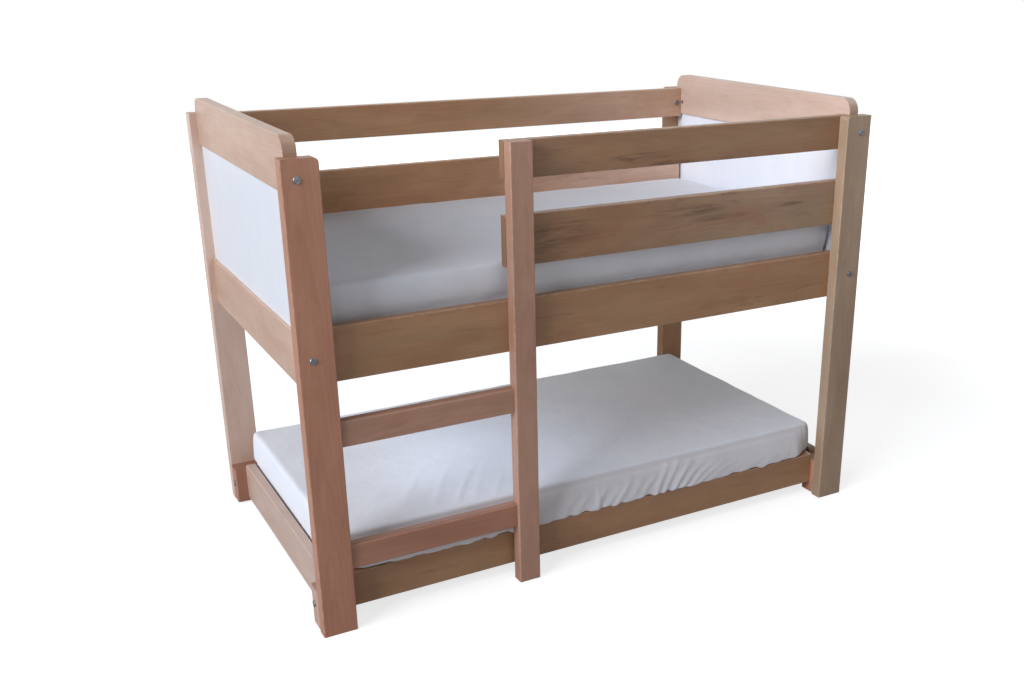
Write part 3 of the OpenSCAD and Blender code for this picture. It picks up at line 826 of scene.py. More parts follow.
@dataclass(frozen=True)
class PlanRing:
    """Samples round a rounded rectangle: four straight sides and four corners."""

    long_steps: int
    short_steps: int
    corner_steps: int

    def samples(self) -> tuple[np.ndarray, np.ndarray]:
        """Work out the samples, counter-clockwise from the right side's lower end.

        Returns:
            Place on the core rectangle from -1 to 1, and the outward direction, each as rows of two.
        """
        core: list[np.ndarray] = []
        outward: list[np.ndarray] = []
        corners = [(1, -1), (1, 1), (-1, 1), (-1, -1)]
        for quarter in range(4):
            start, end = np.array(corners[quarter], float), np.array(corners[(quarter + 1) % 4], float)
            steps = self.short_steps if quarter % 2 == 0 else self.long_steps
            share = np.linspace(0, 1, steps, endpoint=False)[:, None]
            core.append(start + (end - start) * share)
            side = quarter * math.pi / 2
            outward.append(np.tile([math.cos(side), math.sin(side)], (steps, 1)))
            turn = side + np.linspace(0, math.pi / 2, self.corner_steps, endpoint=False)
            core.append(np.tile(end, (self.corner_steps, 1)))
            outward.append(np.stack([np.cos(turn), np.sin(turn)], 1))
        return np.concatenate(core), np.concatenate(outward)


@dataclass
class Wrap:
    """A surface round a pad: rings of the plan, one for each point of the outline."""

    form: PadForm
    ring: PlanRing
    outline: np.ndarray

    def __post_init__(self) -> None:
        """Work out the grid's points, its outward directions and the lengths along it."""
        self.core, self.outward = self.ring.samples()
        inset, height, out = self.outline.T
        form = self.form
        half = np.array(form.half)
        full = half[1] + form.spread
        inner = (form.corner - form.rim) * np.clip((full - inset) / (full - form.rim), 0, 1)
        radius = np.where(inset <= form.rim, form.corner - inset, inner)
        room = half[None, :] - (inset + radius)[:, None]
        room[:, 1] += out
        plan = self.core[None] * room[:, None, :] + self.outward[None] * radius[:, None, None]
        middle = np.array([(a + b) / 2 for a, b in zip(form.low[:2], form.high[:2])])
        self.points = np.empty((*plan.shape[:2], 3))
        self.points[..., :2] = plan + middle
        self.points[..., 2] = (height + form.low[2])[:, None]
        fading, faded = (half[0] - gap for gap in form.end_span)
        near_end = step(np.abs(plan[..., 0]), fading, faded) * (1 - form.swell_end)
        self.points[..., 1] -= self.core[None, :, 1] * form.swell_at(height)[:, None] * near_end
        self.normals = self._normals()
        self.along = self._lengths(self.points[int(np.argmin(inset))])
        self.up_end = self._lengths(self.outline[:, :2])
        self.up_side = self._lengths(np.column_stack([inset - out, height]))

    @property
    def rim_row(self) -> int:
        """Number of the first ring on the flat top."""
        inset, height = self.outline[:, 0], self.outline[:, 1]
        return int(np.argmax((inset >= self.form.rim - 1e-6) & (height > self.form.height / 2)))

    @property
    def drops(self) -> tuple[float, float]:
        """Length of cloth from the top's edge to the hem, at the ends and at the long sides."""
        return float(self.up_end[self.rim_row]), float(self.up_side[self.rim_row])

    @staticmethod
    def _lengths(line: np.ndarray) -> np.ndarray:
        """Length along a line of points up to each of them."""
        steps = np.linalg.norm(np.diff(line, axis=0), axis=1)
        return np.concatenate([[0.0], np.cumsum(steps)])

    def _normals(self) -> np.ndarray:
        """Outward directions: the way round the ring crossed with the way up the outline.

        Up the outline a point of the long sides moves out by the change of the third column, and every
        point moves in by the change of the first.

        Returns:
            Unit vectors of the grid's points.
        """
        inset, height, out = np.gradient(self.outline, axis=0).T
        normals = np.empty_like(self.points)
        normals[..., :2] = self.outward[None] * height[:, None, None]
        sideways = (self.outward[:, 1] * self.core[:, 1])[None]
        normals[..., 2] = inset[:, None] - sideways * out[:, None]
        return normals / np.linalg.norm(normals, axis=2, keepdims=True)

    def flat_map(self) -> np.ndarray:
        """Coordinates on the cloth in metres: the plan on the top, and unrolled down the sides.

        Returns:
            Two coordinates for each point of the grid.
        """
        below_end, below_side = (
            np.clip(up[self.rim_row] - up, 0, None)[:, None] for up in (self.up_end, self.up_side))
        sideways = np.abs(self.outward[:, 1] * self.core[:, 1])[None]
        below = below_end + (below_side - below_end) * sideways
        return self.points[..., :2] + self.outward[None] * below[..., None]


def build_mesh(name: str, points: np.ndarray, faces: np.ndarray,
               cloth: np.ndarray | None) -> bpy.types.Object:
    """Make an object from points and four-cornered faces, with smooth shading and closed seams.

    Args:
        name: Name of the object.
        points: Rows of x, y, z in metres.
        faces: Rows of four point numbers.
        cloth: Flat coordinates of each point, or None.

    Returns:
        The object at the origin.
    """
    mesh = bpy.data.meshes.new(name)
    mesh.vertices.add(len(points))
    mesh.vertices.foreach_set("co", points.ravel())
    mesh.loops.add(faces.size)
    mesh.loops.foreach_set("vertex_index", faces.ravel())
    mesh.polygons.add(len(faces))
    mesh.polygons.foreach_set("loop_start", np.arange(0, faces.size, 4))
    mesh.update(calc_edges=True)
    if cloth is not None:
        layer = mesh.uv_layers.new(name="cloth")
        layer.uv.foreach_set("vector", cloth[faces.ravel()].ravel())
    form = bmesh.new()
    form.from_mesh(mesh)
    bmesh.ops.remove_doubles(form, verts=form.verts, dist=0.05 * MM)
    form.to_mesh(mesh)
    form.free()
    mesh.polygons.foreach_set("use_smooth", np.ones(len(mesh.polygons), bool))
    mesh.validate()
    piece = bpy.data.objects.new(name, mesh)
    bpy.context.scene.collection.objects.link(piece)
    return piece


def grid_faces(rows: int, columns: int, start: int = 0, inward: bool = False) -> np.ndarray:
    """Faces of a grid that closes on itself along its columns.

    Args:
        rows: Number of rings.
        columns: Number of points on a ring.
        start: Number of the grid's first point.
        inward: Whether the faces look inwards.

    Returns:
        Rows of four point numbers.
    """
    row, column = np.meshgrid(np.arange(rows - 1), np.arange(columns), indexing="ij")
    here = row * columns + column
    beside = row * columns + (column + 1) % columns
    faces = np.stack([here, beside, beside + columns, here + columns], -1).reshape(-1, 4) + start
    return faces[:, ::-1] if inward else faces


@dataclass(frozen=True)
class Waves:
    """Smooth random relief: a sum of plane waves of random length, heading and start.

    Attributes:
        seed: Seed of the random numbers.
        shortest: Shortest wave, in metres.
        longest: Longest wave.
        heading: Direction of the waves on the cloth, in radians.
        spread: Angle over which their directions differ.
        count: Number of waves.
    """

    seed: int
    shortest: float
    longest: float
    heading: float = 0.0
    spread: float = math.pi
    count: int = 24

    def at(self, u: np.ndarray, v: np.ndarray) -> np.ndarray:
        """Relief at places on the cloth: the sum of cosines, scaled to about -1 to 1.

        Args:
            u: First coordinate in metres.
            v: Second coordinate in metres.

        Returns:
            The relief.
        """
        chance = np.random.default_rng(self.seed)
        length = np.exp(chance.uniform(math.log(self.shortest), math.log(self.longest), self.count))
        angle = self.heading + chance.uniform(-self.spread / 2, self.spread / 2, self.count)
        phase = chance.uniform(0, 2 * math.pi, self.count)
        total = np.zeros(np.broadcast(u, v).shape)
        for size, turn, start in zip(length, angle, phase):
            total += np.cos(2 * math.pi * (u * math.cos(turn) + v * math.sin(turn)) / size + start)
        return total / math.sqrt(self.count)


def step(values: np.ndarray, low: float, high: float) -> np.ndarray:
    """Smooth step from 0 at low to 1 at high, as three times the square less twice the cube."""
    share = np.clip((values - low) / (high - low), 0, 1)
    return share * share * (3 - 2 * share)


# Soft goods


@dataclass
class Mattress:
    """A mattress: crowned and quilted, in ticking, with a sunk seam along its edges.

    Attributes:
        node: CAD node that it replaces.
        name: Name of the piece.
        swell: How far its long sides swell, in metres.
        body: Body that it rides on.
        quilt: Distance between two quilting lines.
        valley: Half width of a line's valley, as a share of that distance.
        sink: Depth of the valleys.
        margin: Width of the band inside the top's edge in which they come in.
        seam_at: Place of the edges' seams, as a share of the way in to the flat top.
        seam_width: Half width of a seam.
        seam_depth: Depth of a seam.
        steps: Steps of the outline on the underside, on each edge, on the side and on the top.
        ring: Steps of the plan.
    """

    node: str
    name: str
    swell: float
    body: str = "root"
    quilt: float = 0.11
    valley: float = 0.16
    sink: float = 0.0035
    margin: float = 0.03
    seam_at: float = 0.6
    seam_width: float = 0.0022
    seam_depth: float = 0.001
    steps: tuple[int, int, int, int] = (34, 6, 12, 34)
    ring: PlanRing = PlanRing(long_steps=110, short_steps=56, corner_steps=8)

    def build(self) -> bpy.types.Object:
        """Make the mattress in its node's place.

        The quilting presses the ticking in along two sets of crossed lines, as a narrow valley of the
        distance to the nearest line. Each seam is a bell-shaped groove along an edge.

        Returns:
            The finished piece.
        """
        form = PadForm.of_node(self.node, self.swell)
        outline = form.outline(0.0, form.half[1] - form.rim, self.steps)
        wrap = Wrap(form, self.ring, outline)
        x, y = wrap.points[..., 0], wrap.points[..., 1]
        gap = np.minimum(self._line_gap(x + y), self._line_gap(x - y))
        flat = np.abs(wrap.normals[..., 2])
        inset = np.broadcast_to(outline[:, :1], x.shape)
        press = -self.sink * np.exp(-((gap / (self.valley * self.quilt)) ** 2)) * step(flat, 0.9, 1.0)
        press = press * step(inset, form.rim, form.rim + self.margin)
        seam_gap = np.abs(inset - form.rim * self.seam_at)
        seam = -self.seam_depth * np.exp(-((seam_gap / self.seam_width) ** 2))
        points = wrap.points + wrap.normals * (press + seam)[..., None]
        rows, columns = points.shape[:2]
        piece = build_mesh(self.name, points.reshape(-1, 3), grid_faces(rows, columns),
                           wrap.flat_map().reshape(-1, 2))
        piece.data.materials.append(TickingFinish(f"ticking_{self.name}").material())
        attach(piece, self.body)
        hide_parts(self.node)
        log.info("mattress %s: %d faces", self.name, len(piece.data.polygons))
        return piece

    def _line_gap(self, line: np.ndarray) -> np.ndarray:
        """Distance to the nearest quilting line."""
        part = np.mod(line / (self.quilt * math.sqrt(2)) + 0.5, 1.0) - 0.5
        return np.abs(part) * self.quilt


@dataclass(frozen=True)
class Pull:
    """One wrinkle on the cloth: a curved ridge from its root, thinning out to its tip.

    Attributes:
        root: Its start: the place across, and the place at a right angle to that, in metres.
        tip: Its end.
        width: About half its width.
        rise: Its height near the root.
        curve: Four times the share of its length by which its middle bends aside.
    """

    root: tuple[float, float]
    tip: tuple[float, float]
    width: float
    rise: float
    curve: float = 0.1

    def at(self, across: np.ndarray, height: np.ndarray) -> np.ndarray:
        """Height of the ridge: a bell across the line, times the share of the way left to the tip.

        Args:
            across: Places along the side or the top, in metres.
            height: Places at a right angle to them, in metres.

        Returns:
            The stand-off in metres.
        """
        run = np.array(self.tip) - np.array(self.root)
        length = float(np.hypot(*run))
        ahead = run / length
        gap_a, gap_h = across - self.root[0], height - self.root[1]
        share = (gap_a * ahead[0] + gap_h * ahead[1]) / length
        aside = gap_h * ahead[0] - gap_a * ahead[1] + self.curve * length * (share * share - share)
        fade = np.clip(1 - share, 0, 1) ** 0.7 * step(share, -0.25, 0.1)
        thin = self.width * (1.15 - 0.45 * np.clip(share, 0, 1))
        return self.rise * fade * np.exp(-((aside / thin) ** 2))


@dataclass
class FittedSheet:
    """A fitted sheet: it covers the top and the sides, and an elastic hem holds it underneath.

    Attributes:
        node: CAD node that it replaces.
        mattress_node: CAD node of its mattress.
        name: Name of the piece.
        mattress: Name of the mattress's piece; not used.
        swell: How far the mattress's long sides swell, in metres.
        seed: Seed of the sheet's random numbers.
        pulls: Wrinkles on the front side.
        creases: Wrinkles on the top.
        slack: Greatest height of the small random pulls.
        free: Height over the mattress's foot in which the cloth comes free of the rails.
        tight_end: Whether the right end lies flat.
        tight_span: Distances from that end between which the cloth becomes flat.
        shade: Factor on the white; below 1 it darkens the whole sheet as painted shade.
        front_painted_shade_share: Share of a greyer colour on the front side, as painted shade.
        rail: Side rail over which the front side laps, or nothing.
        lap: How far it laps down.
        lap_fade: Heights over the rail between which the lap fades.
        lap_start: Distances before the rail's face between which the lap comes in.
        body: Body that it rides on.
        cloth: Thickness of the cloth.
        gap: Distance between mattress and cloth.
        tuck: Length of cloth under the mattress.
        dart: Share of a corner's cloth that its dart takes out.
        dart_folds: Distance from a dart, half width and height of the upright folds beside it.
        top_rise: Mean height of the waves on the top, and the heights of the slow and the quick ones.
        top_span: Distances in from the top's edge between which they come in.
        side_rise: Mean height of the swells on the sides, and how much it changes.
        side_span: Distances in from the top's edge between which the sides' folds end.
        front_span: Distances from the bed's middle between which the front side's pulls come in.
        pull_count: Number of small random pulls.
        steps: Steps of the outline on the underside, on each edge, on the side and on the top.
        ring: Steps of the plan.
    """

    node: str
    mattress_node: str
    name: str
    mattress: str
    swell: float
    seed: int
    pulls: Sequence[Pull]
    creases: Sequence[Pull]
    slack: float
    free: float
    tight_end: bool
    shade: float = 1.0
    front_painted_shade_share: float = 0.0
    rail: str = ""
    lap: float = 0.008
    lap_fade: tuple[float, float] = (0.012, 0.04)
    lap_start: tuple[float, float] = (0.0012, 0.0035)
    body: str = "root"
    cloth: float = 0.001
    gap: float = 0.0003
    tuck: float = 0.095
    dart: float = 0.72
    dart_folds: Sequence[Triple] = ((0.012, 0.005, 0.0014), (0.034, 0.007, 0.00084))
    tight_span: tuple[float, float] = (0.04, 0.02)
    top_rise: Triple = (0.0012, 0.0009, 0.00018)
    top_span: tuple[float, float] = (-0.02, 0.05)
    side_rise: tuple[float, float] = (0.0009, 0.0008)
    side_span: tuple[float, float] = (-0.012, 0.012)
    front_span: tuple[float, float] = (0.3, 0.36)
    pull_count: int = 110
    steps: tuple[int, int, int, int] = (4, 4, 19, 16)
    ring: PlanRing = PlanRing(long_steps=330, short_steps=116, corner_steps=7)

    def build(self) -> bpy.types.Object:
        """Make the sheet in its node's place, as an outer and an inner face that meet at the hem.

        Returns:
            The finished piece.
        """
        form = PadForm.of_node(self.mattress_node, self.swell)
        outer = Wrap(form, self.ring, form.outline(self.gap + self.cloth, self.tuck, self.steps))
        inner = Wrap(form, self.ring, form.outline(self.gap, self.tuck, self.steps))
        lift = self._folds(outer, form)
        ways = outer.normals.copy()
        ways[..., 2] = np.maximum(ways[..., 2], 0)
        outside = self._lap(outer.points + ways * lift[..., None])
        inside = self._lap(inner.points + ways * lift[..., None])
        rows, columns = lift.shape
        count = rows * columns
        hem = np.arange(columns)
        beside = (hem + 1) % columns
        seam = np.stack([beside, hem, hem + count, beside + count], 1)
        faces = np.concatenate([
            grid_faces(rows, columns), grid_faces(rows, columns, count, inward=True), seam])
        points = np.concatenate([outside.reshape(-1, 3), inside.reshape(-1, 3)])
        flat = outer.flat_map().reshape(-1, 2)
        piece = build_mesh(self.name, points, faces, np.concatenate([flat, flat]))
        finish = CottonFinish(f"cotton_{self.name}", self.shade, self.front_painted_shade_share)
        piece.data.materials.append(finish.material())
        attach(piece, self.body)
        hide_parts(self.node)
        end_drop, side_drop = outer.drops
        length = (form.half[0] - form.rim) * 2 + 2 * end_drop
        width = (form.half[1] + form.spread - form.rim) * 2 + 2 * side_drop
        dart = end_drop * side_drop * 4 * self.dart
        width * length - dart
        log.info("sheet %s: %.3f x %.3f m flat, %d faces", self.name, width, length, len(piece.data.polygons))
        return piece

    def _scattered(self, chance: np.random.Generator, girth: float, foot: float,
                   height: float) -> list[Pull]:
        """Small pulls at random places round the sheet, most of them leaning to the right.

        Args:
            chance: The sheet's random numbers.
            girth: Length round the mattress.
            foot: Height where the sheet comes free of the rails.
            height: Free height over it.

        Returns:
            The pulls.
        """
        count = self.pull_count
        start = chance.uniform(0, girth, count)
        low = foot + height * chance.uniform(-0.05, 0.25, count)
        rise = height * chance.uniform(0.3, 0.8, count)
        lean = chance.normal(0.5, 0.45, count)
        width = chance.uniform(0.005, 0.012, count)
        strength = self.slack * chance.uniform(0.2, 1.0, count) ** 2
        roots = np.column_stack([start, low]).tolist()
        tips = np.column_stack([start + rise * lean, low + rise]).tolist()
        return [Pull(tuple(root), tuple(tip), *sizes)
                for root, tip, *sizes in zip(roots, tips, width.tolist(), strength.tolist())]

    def _folds(self, wrap: Wrap, form: PadForm) -> np.ndarray:
        """How far the cloth stands off the mattress at each point of the grid, in metres.

        The top has long faint waves and a few creases. Above the height where the rails let it go, the
        side has soft swells and slanting pulls, and each corner a sewn dart with two upright folds.

        Args:
            wrap: The sheet's outer face.
            form: The mattress.

        Returns:
            The stand-off, never negative.
        """
        x, y, z = wrap.points[..., 0], wrap.points[..., 1], wrap.points[..., 2]
        around = np.broadcast_to(wrap.along[None, :], x.shape)
        rim = wrap.rim_row
        drop = np.broadcast_to((wrap.up_side[rim] - wrap.up_side)[:, None], x.shape)
        on_top = step(-drop, *self.top_span)
        foot = form.low[2] + form.foot
        on_side = step(z, foot, foot + self.free) * (1 - step(-drop, *self.side_span))

        slow = Waves(self.seed, shortest=0.2, longest=0.7).at(x, y)
        quick = Waves(self.seed + 1, shortest=0.05, longest=0.12).at(x, y)
        mean, slow_rise, quick_rise = self.top_rise
        lift = on_top * (mean + slow * slow_rise)
        lift = lift + on_top * quick_rise * quick
        for crease in self.creases:
            lift = lift + on_top * crease.at(x, y)
        chance = np.random.default_rng(self.seed)
        free = form.low[2] + form.height - foot
        pulls = np.zeros(x.shape)
        for pull in self._scattered(chance, float(wrap.along[-1]), foot, free):
            pulls = pulls + pull.at(around, z)
        front = step(-y, *self.front_span)
        for pull in self.pulls:
            pulls = pulls + front * pull.at(x, z)
        upright = Waves(self.seed + 5, shortest=0.11, longest=0.4, spread=0.6)
        swell = self.side_rise[0] + self.side_rise[1] * upright.at(around, drop)
        lift = lift + on_side * (np.maximum(swell, 0) + pulls + self._darts(wrap))
        if self.tight_end:
            loose, flat = (form.high[0] - gap for gap in self.tight_span)
            lift = lift * (1 - step(x, loose, flat))
        return np.maximum(lift, 0.0)

    def _lap(self, points: np.ndarray) -> np.ndarray:
        """Let the swelling cloth hang down over the front face of a side rail.

        Points in front of the rail sink by a smooth step of their distance from its face, in scallops
        along the bed, and the sinking ends a little over the rail's top.

        Args:
            points: The grid's points.

        Returns:
            The points with the lap.
        """
        if not self.rail:
            return points
        low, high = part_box(self.rail)
        out = -points[..., 1] + low[1]
        full, faded = (high[2] + height for height in self.lap_fade)
        near_top = 1 - step(points[..., 2], full, faded)
        along = points[..., 0]
        waves = Waves(self.seed + 8, shortest=0.05, longest=0.14, spread=0.1)
        scallop = np.clip(0.75 + 0.25 * waves.at(along, np.zeros_like(along)), 0.2, 1.3)
        lapped = points.copy()
        lapped[..., 2] -= self.lap * scallop * near_top * step(out, *self.lap_start)
        return lapped

    def _darts(self, wrap: Wrap) -> np.ndarray:
        """Upright folds beside each corner's sewn dart, as bells of the distance round the ring.

        Args:
            wrap: The sheet's outer face.

        Returns:
            The height of the folds at each point of the grid.
        """
        turn = np.abs(wrap.outward[:, 0] * wrap.outward[:, 1]) > 1e-6
        corners = wrap.along[np.flatnonzero(turn)]
        nearest = np.min(np.abs(wrap.along[None, :] - corners[:, None]), axis=0)
        folds = sum(rise * np.exp(-(((nearest - place) / width) ** 2))
                    for place, width, rise in self.dart_folds)
        return np.broadcast_to(folds[None, :], wrap.points.shape[:2])


# Carried-over pieces


@dataclass
class WoodenParts:
    """The beech boards and posts, each with a seed of its own.

    Attributes:
        boards: The boards and posts, in an order that their seeds follow.
        first_seed: Seed of the first one.
        seed_step: Difference between two seeds.
    """

    boards: Sequence[Board]
    first_seed: int = 101
    seed_step: int = 7

    def dress(self) -> None:
        """Give every board a beech of its own."""
        for number, board in enumerate(self.boards):
            put_on(board.node, BeechFinish(board, self.first_seed + self.seed_step * number).material())
            log.info("board %s: %s beech, grain %s", board.node, board.tone.name.lower(),
                     board.grain.name.lower())


def put_on(node: str, material: bpy.types.Material) -> None:
    """Put a material on every slot of a CAD node.

    Args:
        node: Name of the node.
        material: The finish.
    """
    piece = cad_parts[node]
    if not piece.material_slots:
        piece.data.materials.append(material)
    for slot in piece.material_slots:
        slot.material = material


TOP_GUARD_MARKS = (
    Mark(0.10, 1.160, 0.130, 0.014, 0.75),
    Mark(0.20, 1.138, 0.090, 0.010, 0.70),
    Mark(-0.16, 1.130, 0.110, 0.035, 0.30),
)
MID_GUARD_MARKS = (
    Mark(0.27, 0.999, 0.150, 0.022, 0.55),
    Mark(0.36, 0.972, 0.130, 0.012, 0.45),
    Mark(0.62, 0.985, 0.070, 0.008, 0.60),
    Mark(-0.17, 0.975, 0.170, 0.055, 0.45),
)
BEECH_BOARDS = (
    Board("front_left_post", Grain.ALONG_Z, Tone.ROSY, 1.07, 0.12),
    Board("front_right_post", Grain.ALONG_Z, Tone.GREYISH, 0.93, 0.1),
    Board("back_left_post", Grain.ALONG_Z, Tone.FAIR, 1.22, 0.1),
    # The back right post's shade above 1 is painted light, for light that reaches the back of the bed.
    Board("back_right_post", Grain.ALONG_Z, Tone.BROWN, 1.25),
    Board("ladder_post", Grain.ALONG_Z, Tone.WARM, 1.05, 0.12),
    Board("lower_rung", Grain.ALONG_X, Tone.DEEP, 1.08),
    Board("upper_rung", Grain.ALONG_X, Tone.WARM, 1.14, 0.5),
    # The left end boards' shade above 1 is painted light, for more light from the left.
    Board("left_end_top_board", Grain.ALONG_Y, Tone.PALE, 1.09, 0.1),
    Board("left_end_bottom_board", Grain.ALONG_Y, Tone.PALE, 1.1, 0.1),
    Board("right_end_top_board", Grain.ALONG_Y, Tone.FAIR, 1.12, 0.2),
    Board("right_end_bottom_board", Grain.ALONG_Y, Tone.PALE),
    Board("front_top_guard", Grain.ALONG_X, Tone.BROWN, 0.83, 0.9, marks=TOP_GUARD_MARKS),
    Board("front_mid_guard", Grain.ALONG_X, Tone.BROWN, 0.91, 1.0, Tone.GREYISH, MID_GUARD_MARKS),
    Board("front_mattress_rail", Grain.ALONG_X, Tone.BROWN, 1.05, 0.8),
    # The back guards' shade above 1 and their paler right ends are painted light, for light bounced onto
    # their inner faces.
    Board("back_top_guard", Grain.ALONG_X, Tone.BROWN, 1.22, 0.5, Tone.PALE),
    Board("back_mid_guard", Grain.ALONG_X, Tone.BROWN, 1.44, 0.5, Tone.FAIR),
    Board("back_mattress_rail", Grain.ALONG_X, Tone.BROWN, 1.1),
    Board("front_left_leg", Grain.ALONG_Z, Tone.PALE),
    Board("front_right_leg", Grain.ALONG_Z, Tone.ROSY),
    Board("back_left_leg", Grain.ALONG_Z, Tone.DEEP),
    Board("back_right_leg", Grain.ALONG_Z, Tone.BROWN),
    Board("lower_front_rail", Grain.ALONG_X, Tone.BROWN, 0.98, 0.6),
    Board("lower_back_rail", Grain.ALONG_X, Tone.BROWN),
    Board("lower_left_end_rail", Grain.ALONG_Y, Tone.FAIR, 0.94),
    # The lower right end rail's low shade is painted shade: it lies in the mattress's shadow.
    Board("lower_right_end_rail", Grain.ALONG_Y, Tone.BROWN, 0.65),
)
SLATS: dict[str, Grain] = {
    "upper_slats": Grain.ALONG_Y,
    "lower_slats": Grain.ALONG_Y,
    "upper_front_cleat": Grain.ALONG_X,
    "upper_back_cleat": Grain.ALONG_X,
    "lower_front_cleat": Grain.ALONG_X,
    "lower_back_cleat": Grain.ALONG_X,
    "end_board_dowels": Grain.ALONG_Y,
    "rung_dowels": Grain.ALONG_X,
}
WHITE_PANELS = ("left_end_panel", "right_end_panel")
STEEL = ("end_board_bolts", "end_board_nuts", "rail_bolts", "rail_inserts", "lower_rail_bolts",
         "lower_rail_nuts", "leg_screws", "end_rail_screws", "upper_cleat_screws", "lower_cleat_screws",
         "upper_slat_screws", "lower_slat_screws")
LOWER_SWELL = 39.5 * MM
UPPER_SWELL = 0.0
LOWER_PULLS = (
    Pull((-0.215, 0.135), (-0.135, 0.225), 0.013, 0.0058),
    Pull((-0.165, 0.135), (-0.085, 0.205), 0.011, 0.0050),
    Pull((-0.110, 0.138), (-0.050, 0.195), 0.009, 0.0044),
    Pull((-0.055, 0.135), (0.020, 0.205), 0.009, 0.0046),
    Pull((-0.012, 0.138), (0.060, 0.190), 0.006, 0.0040),
    Pull((0.022, 0.138), (0.105, 0.205), 0.008, 0.0044),
    Pull((0.060, 0.140), (0.130, 0.185), 0.005, 0.0022),
    Pull((0.110, 0.138), (0.185, 0.200), 0.008, 0.0036),
    Pull((0.165, 0.136), (0.240, 0.228), 0.008, 0.0058),
    Pull((0.196, 0.138), (0.282, 0.230), 0.006, 0.0050),
    Pull((0.226, 0.136), (0.325, 0.222), 0.007, 0.0058),
    Pull((0.256, 0.138), (0.372, 0.214), 0.006, 0.0050),
    Pull((0.284, 0.138), (0.415, 0.204), 0.006, 0.0052),
    Pull((0.312, 0.140), (0.455, 0.196), 0.006, 0.0046),
    Pull((0.350, 0.142), (0.500, 0.188), 0.007, 0.0036),
    Pull((0.400, 0.142), (0.560, 0.182), 0.008, 0.0020),
    Pull((0.480, 0.142), (0.640, 0.185), 0.009, 0.0016),
    Pull((0.570, 0.142), (0.700, 0.190), 0.009, 0.0014),
    Pull((-0.300, 0.135), (-0.280, 0.225), 0.015, 0.0044),
    Pull((-0.370, 0.135), (-0.345, 0.225), 0.014, 0.0040),
    Pull((-0.450, 0.135), (-0.420, 0.220), 0.016, 0.0044),
    Pull((-0.540, 0.135), (-0.510, 0.220), 0.015, 0.0036),
)
LOWER_CREASES = (
    Pull((0.36, -0.215), (0.52, -0.190), 0.008, 0.0011),
    Pull((0.20, -0.330), (0.62, -0.300), 0.016, 0.0009),
    Pull((0.45, -0.345), (0.74, -0.330), 0.012, 0.0010),
    Pull((-0.15, -0.360), (0.20, -0.335), 0.014, 0.0008),
    Pull((-0.56, -0.300), (-0.44, -0.120), 0.013, 0.0016),
    Pull((-0.50, -0.365), (-0.36, -0.140), 0.012, 0.0020),
    Pull((-0.44, -0.380), (-0.29, -0.170), 0.010, 0.0022),
    Pull((-0.38, -0.365), (-0.24, -0.160), 0.013, 0.0018),
    Pull((-0.33, -0.390), (-0.20, -0.220), 0.009, 0.0020),
    Pull((-0.27, -0.385), (-0.12, -0.250), 0.012, 0.0014),
)


# Stage, light and camera


@dataclass(frozen=True)
class Lamp:
    """A lamp that the camera doesn't see: a square, or with a cone a soft spot.

    Attributes:
        name: Name of the lamp.
        place: Where it stands, in metres.
        target: What it looks at.
        power: Power in watts.
        colour: Colour of its light.
        size: Side of the square, or radius of the spot's source.
        cone: Opening of the spot in radians, or None.
    """

    name: str
    place: Triple
    target: Triple
    power: float
    colour: Colour
    size: float
    cone: float | None = None

    def build(self) -> None:
        """Make the lamp and turn it to its target."""
        data = bpy.data.lights.new(self.name, "SPOT" if self.cone else "AREA")
        data.energy = self.power
        data.color = self.colour
        if self.cone:
            data.spot_size = self.cone
            data.spot_blend = 1.0
            data.shadow_soft_size = self.size
        else:
            data.shape = "SQUARE"
            data.size = self.size
        lamp = bpy.data.objects.new(self.name, data)
        ahead = (Vector(self.target) - Vector(self.place)).normalized()
        turn = ahead.to_track_quat("-Z", "Y").to_matrix().to_4x4()
        lamp.matrix_world = Matrix.Translation(self.place) @ turn
        lamp.visible_camera = False
        bpy.context.scene.collection.objects.link(lamp)


LAMPS = (
    Lamp("key", place=(-26.2, -7.6, 14.5), target=(0.0, 0.0, 0.6), power=8600.0,
         colour=(0.87, 0.92, 1.0), size=18.0),
    Lamp("fill", place=(-0.26, -0.12, 0.5), target=(-0.2, -0.16, 0.1), power=0.5,
         colour=(0.6, 0.76, 1.0), size=0.5),
    Lamp("right_end_spot", place=(-4.0, -0.9, 2.6), target=(0.86, -0.42, 1.02), power=350.0,
         colour=(0.98, 0.98, 1.0), size=0.25, cone=0.17),
)


